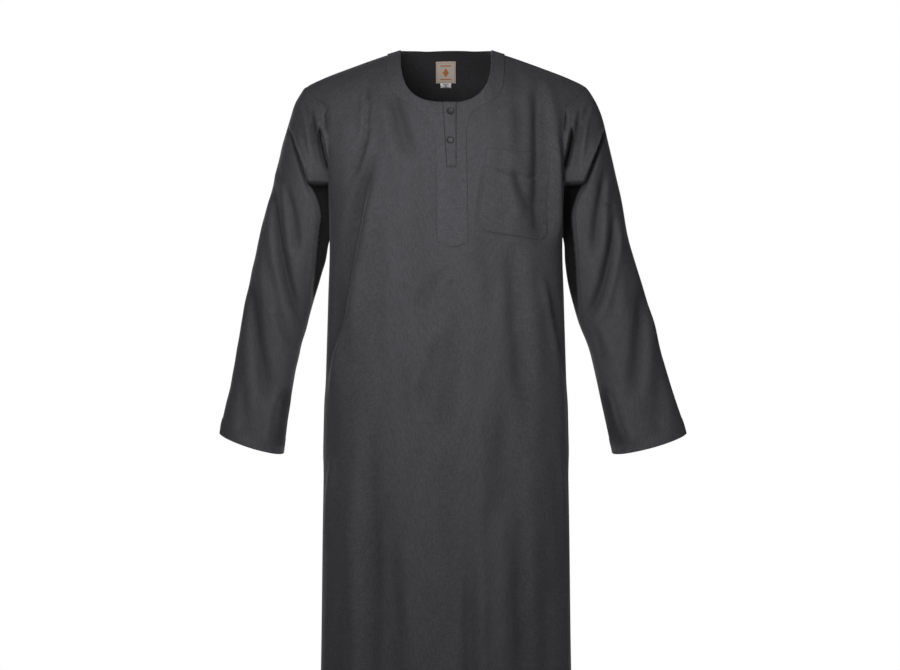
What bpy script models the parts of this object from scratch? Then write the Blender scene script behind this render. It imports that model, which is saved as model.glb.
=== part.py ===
"""Thobe robe, worn and filled out with nobody in it, as cloth panels 0.3 mm apart at their seams.

Metres, +Z up. The front faces -Y and the wearer's left is +X. The origin is midway between the two
neck points, where the shoulder seams meet the neck and the wearer's shoulders carry the robe.
"""

import math
from collections import namedtuple

import bpy
import numpy as np

# Driving sizes
LENGTH = 1.42            # neck point to hem
WALL = 0.0016            # cloth, with its seam allowances
SEAM_GAP = 0.0003        # between two pieces at a seam
ROUNDNESS = 2.3          # exponent of the body's rounded-box sections
ARCH = 0.16              # height over which the shoulders round down into chest and back

NECK_HALF = 0.076        # half the neck hole's width
NECK_DROP = 0.0868       # front of the neck hole, below the neck points
NECK_ROUND = 2.85        # exponent of the neck hole's outline
SHOULDER_X = 0.235       # shoulder point, half the shoulder breadth
SHOULDER_Z = -0.060
UNDERARM_Z = -0.315

# Facing, fly, buttons, pocket and label
TRIM_LIFT = 0.0010       # underside of a piece that lies on the front
POCKET_LIFT = 0.0018     # more under the pocket, which crosses a fold
TRIM_WALL = 0.0012
SLIT_FOOT = -0.194
SLIT_HALF = 0.0005       # half the cut in the front, under the fly
BAND_END = 0.0015        # the band's ends stop this far in front of the shoulder seams
FLY_RIGHT = 0.0168
FLY_LEFT_TOP = -0.0050
FLY_LEFT_FOOT = 0.0017
BUTTON_X = 0.0068
BUTTON_HEIGHTS = (-0.1028, -0.1500)
BUTTON_RADIUS = 0.0062
BUTTON_THICK = 0.0024
LABEL_WALL = 0.0006
LABEL_LIFT = 0.0012

# Openings let into the side seams, where the front's edge stands proud of the back's
SIDE_POCKET_TOP = -0.555
SIDE_POCKET_FOOT = -0.715
SIDE_POCKET_STEP = 0.0022
SIDE_POCKET_RUN = 0.010  # the step fades out this far past each end
SIDE_POCKET_RISE = 1.6   # steepness of the fade

# Fading of the folds towards seams and ends
SIDE_FADE = 0.05         # share of the half width
ARMHOLE_FADE = 0.020
SHOULDER_FADE = 0.040
END_FADE = 0.25          # share of a fold's length
HEAD_FADE = 0.20         # share of the sleeve's length, below the armhole
CUFF_FADE = 0.08         # the same, above the cuff

# Mesh density
NECK_COLUMNS = 6
SHOULDER_COLUMNS = 6
ARM_ROWS = 12
SKIRT_ROWS = 13
SLEEVE_RINGS = 16
BAND_STATIONS = 18
SLIT_STATIONS = 5
PLACKET_ROWS = 6
FLY_ROWS = 8
POCKET_COLUMNS = 8
LABEL_COLUMNS = 5
NECK_TURN = math.radians(32)     # angle of the body section covered by the neck's columns
EVEN_SHARE = 0.65                # share of the arm rows' spacing that stays even

Section = namedtuple("Section", "height half_width front_depth back_depth")
BODY = (
    Section(0.020, 0.275, 0.108, 0.100),
    Section(-0.060, 0.262, 0.119, 0.112),
    Section(-0.100, 0.245, 0.123, 0.119),
    Section(-0.148, 0.235, 0.127, 0.125),
    Section(-0.212, 0.2095, 0.130, 0.130),
    Section(-0.260, 0.1990, 0.131, 0.131),
    Section(-0.315, 0.1963, 0.131, 0.130),
    Section(-0.420, 0.1988, 0.129, 0.125),
    Section(-0.560, 0.2030, 0.128, 0.126),
    Section(-0.760, 0.2075, 0.133, 0.136),
    Section(-1.040, 0.2115, 0.142, 0.142),
    Section(-1.420, 0.2220, 0.153, 0.152),
)

LinePoint = namedtuple("LinePoint", "out height")
SHOULDER_LINE = (
    LinePoint(0.000, 0.0180),
    LinePoint(0.040, 0.0130),
    LinePoint(0.076, 0.0000),
    LinePoint(0.104, -0.0088),
    LinePoint(0.160, -0.0286),
    LinePoint(0.210, -0.0480),
    LinePoint(0.235, -0.0600),
    LinePoint(0.290, -0.1000),
)
ARMHOLE = (
    LinePoint(0.2350, -0.060),
    LinePoint(0.2170, -0.084),
    LinePoint(0.2035, -0.100),
    LinePoint(0.1985, -0.120),
    LinePoint(0.1960, -0.150),
    LinePoint(0.1960, -0.210),
    LinePoint(0.1961, -0.260),
    LinePoint(0.1963, -0.315),
)

Ring = namedtuple("Ring", "outer_out outer_height inner_out inner_height half_depth forward")
SLEEVE_RIGHT = (
    Ring(0.2350, -0.060, 0.1963, -0.3150, 0.078, 0.000),
    Ring(0.2560, -0.094, 0.1995, -0.3280, 0.079, 0.000),
    Ring(0.2745, -0.152, 0.2045, -0.3570, 0.076, -0.002),
    Ring(0.2945, -0.232, 0.2150, -0.3960, 0.069, -0.004),
    Ring(0.3160, -0.325, 0.2275, -0.4400, 0.063, -0.003),
    Ring(0.3400, -0.428, 0.2440, -0.5020, 0.058, 0.002),
    Ring(0.3590, -0.540, 0.2620, -0.5800, 0.055, 0.012),
    Ring(0.3808, -0.642, 0.2730, -0.6757, 0.053, 0.026),
)
SLEEVE_LEFT = (
    Ring(0.2350, -0.060, 0.1963, -0.3150, 0.078, 0.000),
    Ring(0.2565, -0.094, 0.1995, -0.3280, 0.079, 0.000),
    Ring(0.2730, -0.152, 0.2010, -0.3570, 0.076, -0.002),
    Ring(0.2925, -0.232, 0.2075, -0.3960, 0.069, -0.004),
    Ring(0.3105, -0.325, 0.2190, -0.4400, 0.063, -0.003),
    Ring(0.3410, -0.428, 0.2390, -0.5020, 0.059, 0.002),
    Ring(0.3722, -0.540, 0.2595, -0.5800, 0.058, 0.012),
    Ring(0.4044, -0.642, 0.2797, -0.6757, 0.057, 0.026),
)
CAP_SHARE = 0.32         # share of the sleeve over which the armhole's outline becomes an oval
CUFF_DROOP = 0.006       # how far the front of the cuff hangs below its middle

# A fold is a soft trough (depth below 0) or ridge along a bowed line
Fold = namedtuple("Fold", "x_top z_top x_foot z_foot bow width depth")
FRONT_FOLDS = (
    Fold(0.150, -0.062, 0.158, -0.300, 0.004, 0.027, -0.0080),
    Fold(0.110, -0.290, 0.134, -0.620, -0.004, 0.022, -0.0060),
    Fold(0.146, -0.420, 0.190, -0.560, 0.004, 0.020, 0.0040),
    Fold(-0.120, -0.170, -0.185, -0.500, -0.010, 0.024, -0.0065),
    Fold(-0.098, -0.066, -0.057, -0.175, 0.000, 0.024, -0.0035),
    Fold(0.004, -0.370, -0.055, -0.450, 0.000, 0.018, -0.0040),
    Fold(-0.020, -0.480, -0.040, -0.640, 0.006, 0.024, -0.0030),
    Fold(-0.137, -0.560, -0.142, -1.300, 0.010, 0.034, -0.0060),
    Fold(0.120, -0.700, 0.132, -1.420, 0.006, 0.036, -0.0065),
    Fold(-0.050, -0.760, -0.058, -1.420, -0.006, 0.040, 0.0050),
    Fold(0.048, -0.900, 0.054, -1.420, 0.004, 0.034, 0.0045),
)
BACK_FOLDS = (
    Fold(0.148, -0.090, 0.140, -0.420, 0.006, 0.024, -0.0080),
    Fold(-0.146, -0.090, -0.150, -0.460, -0.008, 0.026, -0.0075),
    Fold(0.020, -0.420, 0.090, -0.540, 0.010, 0.024, -0.0055),
    Fold(-0.030, -0.400, -0.110, -0.560, 0.010, 0.024, -0.0050),
    Fold(-0.105, -0.640, -0.118, -1.420, 0.008, 0.038, -0.0075),
    Fold(0.095, -0.620, 0.108, -1.420, -0.008, 0.040, -0.0080),
    Fold(0.005, -0.700, 0.010, -1.420, 0.006, 0.042, -0.0060),
)
# On a sleeve x is the turn round it (0 outer, 0.25 front, 0.5 inner, 0.75 back) and z the share of
# its length; width and bow are in metres of cloth
SLEEVE_FOLDS = (
    Fold(0.33, 0.04, 0.40, 0.60, 0.000, 0.020, -0.0260),
    Fold(0.10, 0.10, 0.40, 0.34, 0.010, 0.016, -0.0065),
    Fold(0.30, 0.26, 0.37, 0.56, 0.010, 0.020, -0.0050),
    Fold(0.16, 0.40, 0.25, 0.88, -0.012, 0.020, -0.0055),
    Fold(0.85, 0.14, 0.62, 0.36, 0.010, 0.020, -0.0060),
    Fold(0.68, 0.38, 0.60, 0.60, 0.008, 0.020, -0.0055),
    Fold(0.80, 0.44, 0.72, 0.90, 0.010, 0.022, -0.0055),
)
SLEEVE_GIRTH = 0.40
SLEEVE_RUN = 0.60

# Outline of the neck band and placket, from a shoulder seam down to the placket's corner
PLACKET_FOOT = -0.3185
PLACKET_TIP = -0.3310
BAND_LEFT = (
    LinePoint(0.0985, -0.0070),
    LinePoint(0.0970, -0.0450),
    LinePoint(0.0880, -0.0740),
    LinePoint(0.0600, -0.0930),
    LinePoint(0.0430, -0.1060),
    LinePoint(0.0360, -0.1250),
    LinePoint(0.0345, -0.1600),
    LinePoint(0.0350, SLIT_FOOT),
    LinePoint(0.0370, PLACKET_FOOT),
)
BAND_RIGHT = (
    LinePoint(-0.0985, -0.0070),
    LinePoint(-0.0970, -0.0450),
    LinePoint(-0.0880, -0.0720),
    LinePoint(-0.0640, -0.0890),
    LinePoint(-0.0400, -0.1040),
    LinePoint(-0.0240, -0.1260),
    LinePoint(-0.0180, -0.1580),
    LinePoint(-0.0165, SLIT_FOOT),
    LinePoint(-0.0160, PLACKET_FOOT),
)

# Chest pocket corners, as seen from in front
POCKET_TOP_IN = LinePoint(0.0670, -0.1630)
POCKET_TOP_OUT = LinePoint(0.1740, -0.1720)
POCKET_FOOT_IN = LinePoint(0.0530, -0.3010)
POCKET_FOOT_OUT = LinePoint(0.1720, -0.3170)
POCKET_ROUND = 0.020     # at the inner lower corner
POCKET_OUTER_ROUND = 0.7 # size of the outer lower corner, as a share of the inner one
POCKET_ROWS = (0, 0.11, 0.25, 0.45, 0.65, 0.85, 0.90, 0.95, 0.985, 1.0)      # shares of its height

# Half of a button's section, in shares of its radius and thickness
BUTTON_PROFILE = (
    LinePoint(0.00, 0.62),
    LinePoint(0.62, 0.62),
    LinePoint(0.80, 1.00),
    LinePoint(1.00, 0.62),
    LinePoint(0.86, 0.00),
    LinePoint(0.00, 0.00),
)

# Label and tab inside the back neck
LABEL_X = -0.0005
LABEL_TOP = -0.0168
LABEL_FOOT = -0.0530
LABEL_HALF = 0.0170
TAB_FOOT = -0.0610
TAB_HALF = 0.0092

CHARCOAL = (0.056, 0.053, 0.058, 1.0)
BUTTON_BLACK = (0.012, 0.012, 0.014, 1.0)
LABEL_BEIGE = (0.42, 0.34, 0.27, 1.0)
TAB_WHITE = (0.72, 0.72, 0.74, 1.0)


def smooth_curve(knots, values, at):
    """A smooth curve through the values at the knots, read at 'at'. The knots rise."""
    knots = np.asarray(knots, float)
    values = np.asarray(values, float)
    slopes = np.gradient(values, knots)
    at = np.clip(at, knots[0], knots[-1])
    i = np.clip(np.searchsorted(knots, at) - 1, 0, len(knots) - 2)
    step = knots[i + 1] - knots[i]
    t = (at - knots[i]) / step
    keep = (1 + 2 * t) * (1 - t) ** 2 * values[i] + t * t * (3 - 2 * t) * values[i + 1]
    return keep + step * t * (1 - t) * ((1 - t) * slopes[i] - t * slopes[i + 1])


def read_down(table, column, height):
    """A column of a table whose heights fall from row to row."""
    rows = table[::-1]
    return smooth_curve([r.height for r in rows], [getattr(r, column) for r in rows], height)


def shoulder_height(x):
    return smooth_curve([p.out for p in SHOULDER_LINE], [p.height for p in SHOULDER_LINE], np.abs(x))


def ease(t):
    t = np.clip(t, 0.0, 1.0)
    return t * t * (3 - 2 * t)


def fold_depths(folds, across, down):
    """Sum of the folds at points (across, down), both in metres."""
    total = np.zeros(np.shape(across))
    t = np.linspace(0, 1, 41)
    for fold in folds:
        run = np.array([fold.x_foot - fold.x_top, fold.z_foot - fold.z_top])
        side = np.array([-run[1], run[0]]) / np.hypot(*run)
        bow = 4 * fold.bow * t * (1 - t)
        line_x = fold.x_top + run[0] * t + side[0] * bow
        line_z = fold.z_top + run[1] * t + side[1] * bow
        gaps = np.hypot(across[..., None] - line_x, down[..., None] - line_z)
        nearest = t[gaps.argmin(axis=-1)]
        ends = ease(nearest / END_FADE) * ease((1 - nearest) / END_FADE)
        total += fold.depth * ends * np.exp(-(gaps.min(axis=-1) / fold.width) ** 2)
    return total


def drop_of(x, z):
    """Length of cloth from the shoulder line down to height z, round the arch of the shoulder."""
    below = np.maximum((shoulder_height(x) - z) / ARCH, 0)
    return ARCH * np.where(below < 1, np.arccos(1 - np.minimum(below, 1)), math.pi / 2 + below - 1)


def body_surface(x, drop, side):
    """Points of the front (side -1) or back (side +1), a length of cloth below the shoulder line."""
    arch = np.minimum(drop / ARCH, math.pi / 2)
    z = shoulder_height(x) - ARCH * (1 - np.cos(arch)) - np.maximum(drop - ARCH * math.pi / 2, 0)
    column = "front_depth" if side < 0 else "back_depth"
    across = np.clip(np.abs(x) / read_down(BODY, "half_width", z), 0, 1)
    rounded = (1 - across**ROUNDNESS) ** (1 / ROUNDNESS)
    return np.stack([x, side * read_down(BODY, column, z) * rounded * np.sin(arch), z], axis=-1)


def body_folds(x, z, side):
    """Fold depth on a body panel, fading out at its seams."""
    across = np.abs(x) / read_down(BODY, "half_width", z)
    edge = ease((1 - across) / SIDE_FADE)
    armhole = ease((read_down(ARMHOLE, "out", z) - np.abs(x)) / ARMHOLE_FADE)
    shoulder = ease((shoulder_height(x) - z) / SHOULDER_FADE)
    fade = edge * np.where(z > UNDERARM_Z, armhole, 1.0) * shoulder
    return fade * fold_depths(FRONT_FOLDS if side < 0 else BACK_FOLDS, x, z)


def body_point(x, drop, side):
    """(points, normals) of the folded body surface, for pieces that lie on a panel."""
    x, drop = np.broadcast_arrays(np.asarray(x, float), np.asarray(drop, float))

    def plain(x, drop):
        return body_surface(x, drop, side)

    def facing(at, x, drop, step=1e-4):
        along = at(x + step, drop) - at(x - step, drop)
        down = at(x, drop + step) - at(x, drop - step)
        normal = np.cross(along, down) * side
        return normal / np.linalg.norm(normal, axis=-1, keepdims=True)

    def folded(x, drop):
        points = plain(x, drop)
        return points + facing(plain, x, drop) * body_folds(x, points[..., 2], side)[..., None]

    return folded(x, drop), facing(folded, x, drop)


def arc_samples(line, count, side=-1):
    """Points (x, drop) spaced evenly along a line of them on the body."""
    steps = np.linalg.norm(np.diff(body_surface(line[:, 0], line[:, 1], side), axis=0), axis=1)
    lengths = np.concatenate([[0], np.cumsum(steps)])
    at = np.linspace(0, lengths[-1], count)
    return np.stack([np.interp(at, lengths, line[:, k]) for k in range(2)], axis=1)


def neck_outline(side):
    """Half of the neck hole as (x, drop), finely, from its middle to the neck point."""
    share = np.linspace(0, 1, 400)
    angle = math.pi / 2 * (1 - (1 - share) ** 3)
    if side < 0:
        x = NECK_HALF * np.sin(angle) ** (2 / NECK_ROUND)
        z = -NECK_DROP * np.maximum(np.cos(angle), 0) ** (2 / NECK_ROUND)
    else:
        x = NECK_HALF * np.sin(angle)
        z = np.zeros(len(x))
    line = np.stack([x, drop_of(x, z)], axis=1)
    line[-1, 1] = 0.0
    return line


def top_edge(side):
    """Half of a panel's top edge as (x, drop), from the middle of the neck to the shoulder point."""
    neck = arc_samples(neck_outline(side), NECK_COLUMNS + 1, side)
    x = np.linspace(NECK_HALF, SHOULDER_X, SHOULDER_COLUMNS + 1)[1:]
    return np.concatenate([neck, np.stack([x, np.zeros(len(x))], axis=1)])


def ring_angles():
    """Angles of the columns round a body section, from the middle of a panel to its side seam."""
    near = np.linspace(0, NECK_TURN, NECK_COLUMNS + 1)
    far = np.linspace(NECK_TURN, math.pi / 2, SHOULDER_COLUMNS + 1)[1:]
    return np.concatenate([near, far])


def ring_point(angle, z, side):
    """Point on the body's section at height z."""
    sine, cosine = np.sin(angle), np.cos(angle)
    reach = (np.abs(sine) ** ROUNDNESS + np.abs(cosine) ** ROUNDNESS) ** (-1 / ROUNDNESS)
    column = "front_depth" if side < 0 else "back_depth"
    x = read_down(BODY, "half_width", z) * reach * sine
    y = side * read_down(BODY, column, z) * reach * cosine
    return x, y


def arm_shares():
    """Share of the cloth from shoulder to underarm above each row, closer together at the underarm."""
    even = np.linspace(0, 1, ARM_ROWS + 1)
    return EVEN_SHARE * even + (1 - EVEN_SHARE) * np.sin(math.pi / 2 * even)


def body_panel(side):
    """Rows by columns of points, from the wearer's right (-X) to the left (+X)."""
    angles = ring_angles()
    top = top_edge(side)
    foot_x, _ = ring_point(angles, UNDERARM_Z, side)
    spread = np.linspace(0, 1, len(angles)) ** 2
    rows = []
    foot_drop = drop_of(foot_x, UNDERARM_Z)
    for share in arm_shares():
        drop = top[:, 1] + (foot_drop - top[:, 1]) * share
        x = top[:, 0] + (foot_x - top[:, 0]) * share
        edge_z = body_surface(x[-1:], drop[-1:], side)[0, 2]
        x = x + spread * (read_down(ARMHOLE, "out", edge_z) - x[-1])
        rows.append(body_surface(x, drop, side))
    for z in np.linspace(UNDERARM_Z, -LENGTH, SKIRT_ROWS + 1)[1:]:
        x, y = ring_point(angles, z, side)
        rows.append(np.stack([x, y, np.full(len(x), z)], axis=1))
    half = np.array(rows)
    # The seams lie exactly in the plane of the side seams
    half[ARM_ROWS:, -1, 1] = 0.0
    half[0, NECK_COLUMNS:, 1] = 0.0
    mirrored = half[:, :0:-1] * (-1, 1, 1)
    return np.concatenate([mirrored, half], axis=1)


def sleeve_grid(table, sign, front, back):
    """Rings by points round a sleeve, from the armhole to the cuff, and each point's turn."""
    edge = -1 if sign > 0 else 0
    loop = np.concatenate([front[: ARM_ROWS + 1, edge], back[1:ARM_ROWS, edge][::-1]])
    shares = (SHOULDER_Z - loop[:, 2]) / (SHOULDER_Z - UNDERARM_Z)
    cosine = 1 - 2 * shares
    sine = 2 * np.sqrt(shares * (1 - shares))
    sine[ARM_ROWS + 1 :] *= -1
    turn = np.arctan2(sine, cosine) / (2 * math.pi) % 1.0
    knots = np.linspace(0, 1, len(table))
    at = np.linspace(0, 1, SLEEVE_RINGS + 1)
    read = {name: smooth_curve(knots, [getattr(r, name) for r in table], at) for name in Ring._fields}
    rings = []
    for k in range(SLEEVE_RINGS + 1):
        outer = np.array([sign * read["outer_out"][k], -read["forward"][k], read["outer_height"][k]])
        inner = np.array([sign * read["inner_out"][k], -read["forward"][k], read["inner_height"][k]])
        oval = (outer + inner) / 2 + np.outer(cosine, (outer - inner) / 2)
        oval[:, 1] -= sine * read["half_depth"][k]
        oval[:, 2] -= sine * CUFF_DROOP * at[k] ** 2
        if k == 0:
            residue = loop - oval
        cap = np.clip(1 - at[k] / CAP_SHARE, 0, 1) ** 2
        rings.append(oval + cap * residue)
    return np.array(rings), turn, at


def quads(rows, columns, wrap=False):
    """Faces of a grid of points stored row by row."""
    across = columns if wrap else columns - 1
    faces = []
    for i in range(rows - 1):
        for j in range(across):
            right = (j + 1) % columns
            upper, lower = i * columns, (i + 1) * columns
            faces.append((upper + j, upper + right, lower + right, lower + j))
    return faces


def vertex_normals(points, faces):
    normals = np.zeros(points.shape)
    faces = np.asarray(faces)
    cross = np.cross(points[faces[:, 2]] - points[faces[:, 0]], points[faces[:, 3]] - points[faces[:, 1]])
    for k in range(4):
        np.add.at(normals, faces[:, k], cross)
    return normals


def welded_sum(points, vectors):
    """Unit sum of the vectors of points that coincide."""
    _, index = np.unique(np.round(points, 6), axis=0, return_inverse=True)
    index = index.reshape(-1)
    total = np.zeros((index.max() + 1, 3))
    np.add.at(total, index, vectors)
    return total[index] / np.linalg.norm(total[index], axis=1, keepdims=True)


def shared_normals(grids, faces):
    """Unit normals of panels that share seams. At the armholes they halve the angle between the
    body and the sleeve, so that both walls end on one mitre."""
    points = {name: grids[name].reshape(-1, 3) for name in grids}
    raw = {name: vertex_normals(points[name], faces[name]) for name in grids}
    body = welded_sum(np.concatenate([points["front"], points["back"]]),
                      np.concatenate([raw["front"], raw["back"]]))
    unit = dict(zip(("front", "back"), np.split(body, [len(points["front"])])))
    for name in ("sleeve_right", "sleeve_left"):
        unit[name] = raw[name] / np.linalg.norm(raw[name], axis=1, keepdims=True)
    # The front and the back share the ends of each armhole, so those count once for both
    share = {name: np.full((len(points[name]), 1), 1.0) for name in grids}
    for name in ("front", "back"):
        lattice = share[name].reshape(grids[name].shape[:2])
        lattice[[0, 0, ARM_ROWS, ARM_ROWS], [0, -1, 0, -1]] = 0.5
    total = welded_sum(np.concatenate(list(points.values())),
                       np.concatenate([unit[name] * share[name] for name in points]))
    return dict(zip(points, np.split(total, np.cumsum([len(p) for p in points.values()])[:-1])))


def pull_in(points, seam, inside, closed=False):
    """Moves the points of a seam half the gap towards the line inside it, square to the seam."""
    line = points[seam]
    if closed:
        along = np.roll(line, -1, axis=0) - np.roll(line, 1, axis=0)
    else:
        along = np.gradient(line, axis=0)
    along /= np.linalg.norm(along, axis=1, keepdims=True)
    inward = points[inside] - line
    inward -= along * (along * inward).sum(axis=1, keepdims=True)
    inward /= np.linalg.norm(inward, axis=1, keepdims=True)
    points[seam] += inward * (SEAM_GAP / 2)


def cloth(name, points, normals, faces, material, top=0.0, thickness=WALL):
    """A closed wall: its outer skin 'top' outside the points, its inner skin a thickness below."""
    count = len(points)
    outer = points + normals * top
    inner = points + normals * (top - thickness)
    skin = list(faces)
    lining = [tuple(i + count for i in reversed(face)) for face in faces]
    edges = {}
    for face in faces:
        for a, b in zip(face, face[1:] + face[:1]):
            edges[(a, b)] = True
    rims = [(b, a, a + count, b + count) for a, b in edges if (b, a) not in edges]
    mesh = bpy.data.meshes.new(name)
    mesh.from_pydata(np.concatenate([outer, inner]).tolist(), [], skin + lining + rims)
    mesh.materials.append(material)
    mesh.validate()
    mesh.shade_smooth()
    mesh.set_sharp_from_angle(angle=math.radians(50))
    piece = bpy.data.objects.new(name, mesh)
    ROBE.objects.link(piece)
    return piece


def flat_piece(name, x, drop, side, material, bottom, thickness, faces=None):
    """A piece that lies on a body panel, over the grid of points (x, drop)."""
    points, normals = body_point(x, drop, side)
    if faces is None:
        faces = quads(*np.shape(x))
    points, normals = points.reshape(-1, 3), normals.reshape(-1, 3)
    first = faces[0]
    facing = np.cross(points[first[1]] - points[first[0]], points[first[2]] - points[first[0]])
    if facing @ normals[first[0]] < 0:
        faces = [face[::-1] for face in faces]
    return cloth(name, points, normals, faces, material, top=bottom + thickness, thickness=thickness)


def make_material(name, colour, roughness):
    material = bpy.data.materials.new(name)
    material.use_nodes = True
    shader = material.node_tree.nodes["Principled BSDF"]
    shader.inputs["Base Color"].default_value = colour
    shader.inputs["Roughness"].default_value = roughness
    shader.inputs["Metallic"].default_value = 0.0
    material.diffuse_color = colour
    return material


def make_front(grid, normals, faces, material):
    """The front, cut down its middle from the neck to the foot of the slit."""
    columns = grid.shape[1]
    middle = columns // 2
    points = grid.reshape(-1, 3)
    extra_points, extra_normals = [], []
    twin = {}
    slit_rows = int((grid[:, middle, 2] > SLIT_FOOT).sum())
    for i in range(slit_rows):
        at = i * columns + middle
        twin[at] = len(points) + len(extra_points)
        extra_points.append(points[at] + (SLIT_HALF, 0, 0))
        extra_normals.append(normals[at])
        points[at] -= (SLIT_HALF, 0, 0)
    cut = []
    for face in faces:
        right_half = min(i % columns for i in face) >= middle
        cut.append(tuple(twin.get(i, i) for i in face) if right_half else face)
    points = np.concatenate([points, extra_points])
    normals = np.concatenate([normals, extra_normals])
    cloth("front", points, normals, cut, material)


def side_step(grid, side):
    """Opens the side seams at the pockets: the front's edge stands out and the back's edge lies in."""
    heights = grid[:, 0, 2]
    middle = (SIDE_POCKET_TOP + SIDE_POCKET_FOOT) / 2
    half = (SIDE_POCKET_TOP - SIDE_POCKET_FOOT) / 2 + SIDE_POCKET_RUN
    bump = SIDE_POCKET_STEP * ease(SIDE_POCKET_RISE * (1 - np.abs(heights - middle) / half)) * -side
    grid[:, 0, 0] -= bump
    grid[:, -1, 0] += bump


def fold_panels(grids, turns, faces):
    """Moves the panels' points in and out along their normals by the folds."""
    normals = shared_normals(grids, faces)
    for name, side in (("front", -1), ("back", +1)):
        depth = body_folds(grids[name][..., 0], grids[name][..., 2], side)
        grids[name] = grids[name] + normals[name].reshape(grids[name].shape) * depth[..., None]
    folds = [f._replace(x_top=f.x_top * SLEEVE_GIRTH, x_foot=f.x_foot * SLEEVE_GIRTH,
                        z_top=f.z_top * SLEEVE_RUN, z_foot=f.z_foot * SLEEVE_RUN) for f in SLEEVE_FOLDS]
    for name, (turn, at) in turns.items():
        rings = grids[name]
        across = np.broadcast_to(turn * SLEEVE_GIRTH, rings.shape[:2])
        down = np.broadcast_to(at[:, None] * SLEEVE_RUN, rings.shape[:2])
        fade = ease(at / HEAD_FADE) * ease((1 - at) / CUFF_FADE)
        depth = fold_depths(folds, across, down) * fade[:, None]
        grids[name] = rings + normals[name].reshape(rings.shape) * depth[..., None]


def part_seams(grid):
    """Leaves half the gap along a body panel's side, armhole and shoulder seams."""
    rows, columns = grid.shape[:2]
    points = grid.reshape(-1, 3)
    index = np.arange(len(points)).reshape(rows, columns)
    right_shoulder = slice(None, SHOULDER_COLUMNS + 1)
    left_shoulder = slice(columns - 1 - SHOULDER_COLUMNS, None)
    pull_in(points, index[:, 0], index[:, 1])
    pull_in(points, index[:, -1], index[:, -2])
    pull_in(points, index[0, right_shoulder], index[1, right_shoulder])
    pull_in(points, index[0, left_shoulder], index[1, left_shoulder])


def make_panels(material):
    """The front, the back and the two sleeves, which share their seams' points."""
    front, back = body_panel(-1), body_panel(+1)
    grids, turns = {"front": front, "back": back}, {}
    for name, table, sign in (("sleeve_right", SLEEVE_RIGHT, -1), ("sleeve_left", SLEEVE_LEFT, +1)):
        grids[name], *turns[name] = sleeve_grid(table, sign, front, back)
    ring = 2 * ARM_ROWS
    body_faces = quads(*front.shape[:2])
    tube_faces = quads(SLEEVE_RINGS + 1, ring, wrap=True)
    faces = {
        "front": [face[::-1] for face in body_faces],
        "back": body_faces,
        "sleeve_left": tube_faces,
        "sleeve_right": [face[::-1] for face in tube_faces],
    }
    fold_panels(grids, turns, faces)
    normals = shared_normals(grids, faces)
    for name, side in (("front", -1), ("back", +1)):
        side_step(grids[name], side)
        part_seams(grids[name])
    make_front(grids["front"], normals["front"], faces["front"], material)
    cloth("back", grids["back"].reshape(-1, 3), normals["back"], faces["back"], material)
    for name in turns:
        points = grids[name].reshape(-1, 3)
        index = np.arange(len(points)).reshape(SLEEVE_RINGS + 1, ring)
        pull_in(points, index[0], index[1], closed=True)
        cloth(name, points, normals[name], faces[name], material)


def outline_curve(table, count):
    """Points (x, drop) spaced evenly along a smooth curve through a table's rows."""
    knots = np.linspace(0, 1, len(table))
    fine = np.linspace(0, 1, 40 * len(table))
    drops = [drop_of(p.out, p.height) for p in table]
    drops[0] = BAND_END
    x = smooth_curve(knots, [p.out for p in table], fine)
    return arc_samples(np.stack([x, smooth_curve(knots, drops, fine)], axis=1), count)


def make_neck_placket(material):
    """Band round the front of the neck, running down both sides of the slit into a pointed placket."""
    slit_drop = drop_of(0.0, SLIT_FOOT)
    lanes = np.linspace(0, 1, 3)[None, :, None]
    grids, faces = [], []

    def add(grid):
        start = sum(len(points) for points in grids)
        grids.append(grid.reshape(-1, 2))
        return start + np.arange(grid.size // 2).reshape(grid.shape[:-1])

    def join(upper, lower):
        for j in range(len(upper) - 1):
            faces.append((int(upper[j]), int(upper[j + 1]), int(lower[j + 1]), int(lower[j])))

    feet = []
    for sign, table in ((-1, BAND_RIGHT), (+1, BAND_LEFT)):
        slit_top = FLY_LEFT_TOP if sign < 0 else FLY_RIGHT
        slit_foot = FLY_LEFT_FOOT if sign < 0 else FLY_RIGHT
        neck = neck_outline(-1)[::-1] * (sign, 1)
        neck = neck[(sign * neck[:, 0] > sign * slit_top + SEAM_GAP) & (neck[:, 1] >= BAND_END)]
        neck = arc_samples(neck, BAND_STATIONS - SLIT_STATIONS)
        slit = np.linspace(neck[-1], (slit_foot + sign * SEAM_GAP, slit_drop), SLIT_STATIONS + 1)
        inner = np.concatenate([neck, slit[1:]])
        outer = outline_curve(table[:-1], BAND_STATIONS)
        index = add(inner[:, None] + (outer - inner)[:, None] * lanes)
        if sign < 0:
            index = index[:, ::-1]
        feet.append(index[-1])
        for upper, lower in zip(index, index[1:]):
            join(upper, lower)
    previous = np.concatenate(feet)
    top = np.concatenate(grids)[previous]
    share = (top[:, 0] - top[0, 0]) / (top[-1, 0] - top[0, 0])
    foot_x = BAND_RIGHT[-1].out + share * (BAND_LEFT[-1].out - BAND_RIGHT[-1].out)
    foot_z = PLACKET_FOOT + (PLACKET_TIP - PLACKET_FOOT) * (1 - np.abs(2 * share - 1))
    foot = np.stack([foot_x, drop_of(foot_x, foot_z)], axis=1)
    for step in np.linspace(0, 1, PLACKET_ROWS + 1)[1:]:
        index = add(top + (foot - top) * step)
        join(previous, index)
        previous = index
    x, drop = np.concatenate(grids).T
    flat_piece("neck_placket", x, drop, -1, material, TRIM_LIFT, TRIM_WALL, faces)


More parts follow.
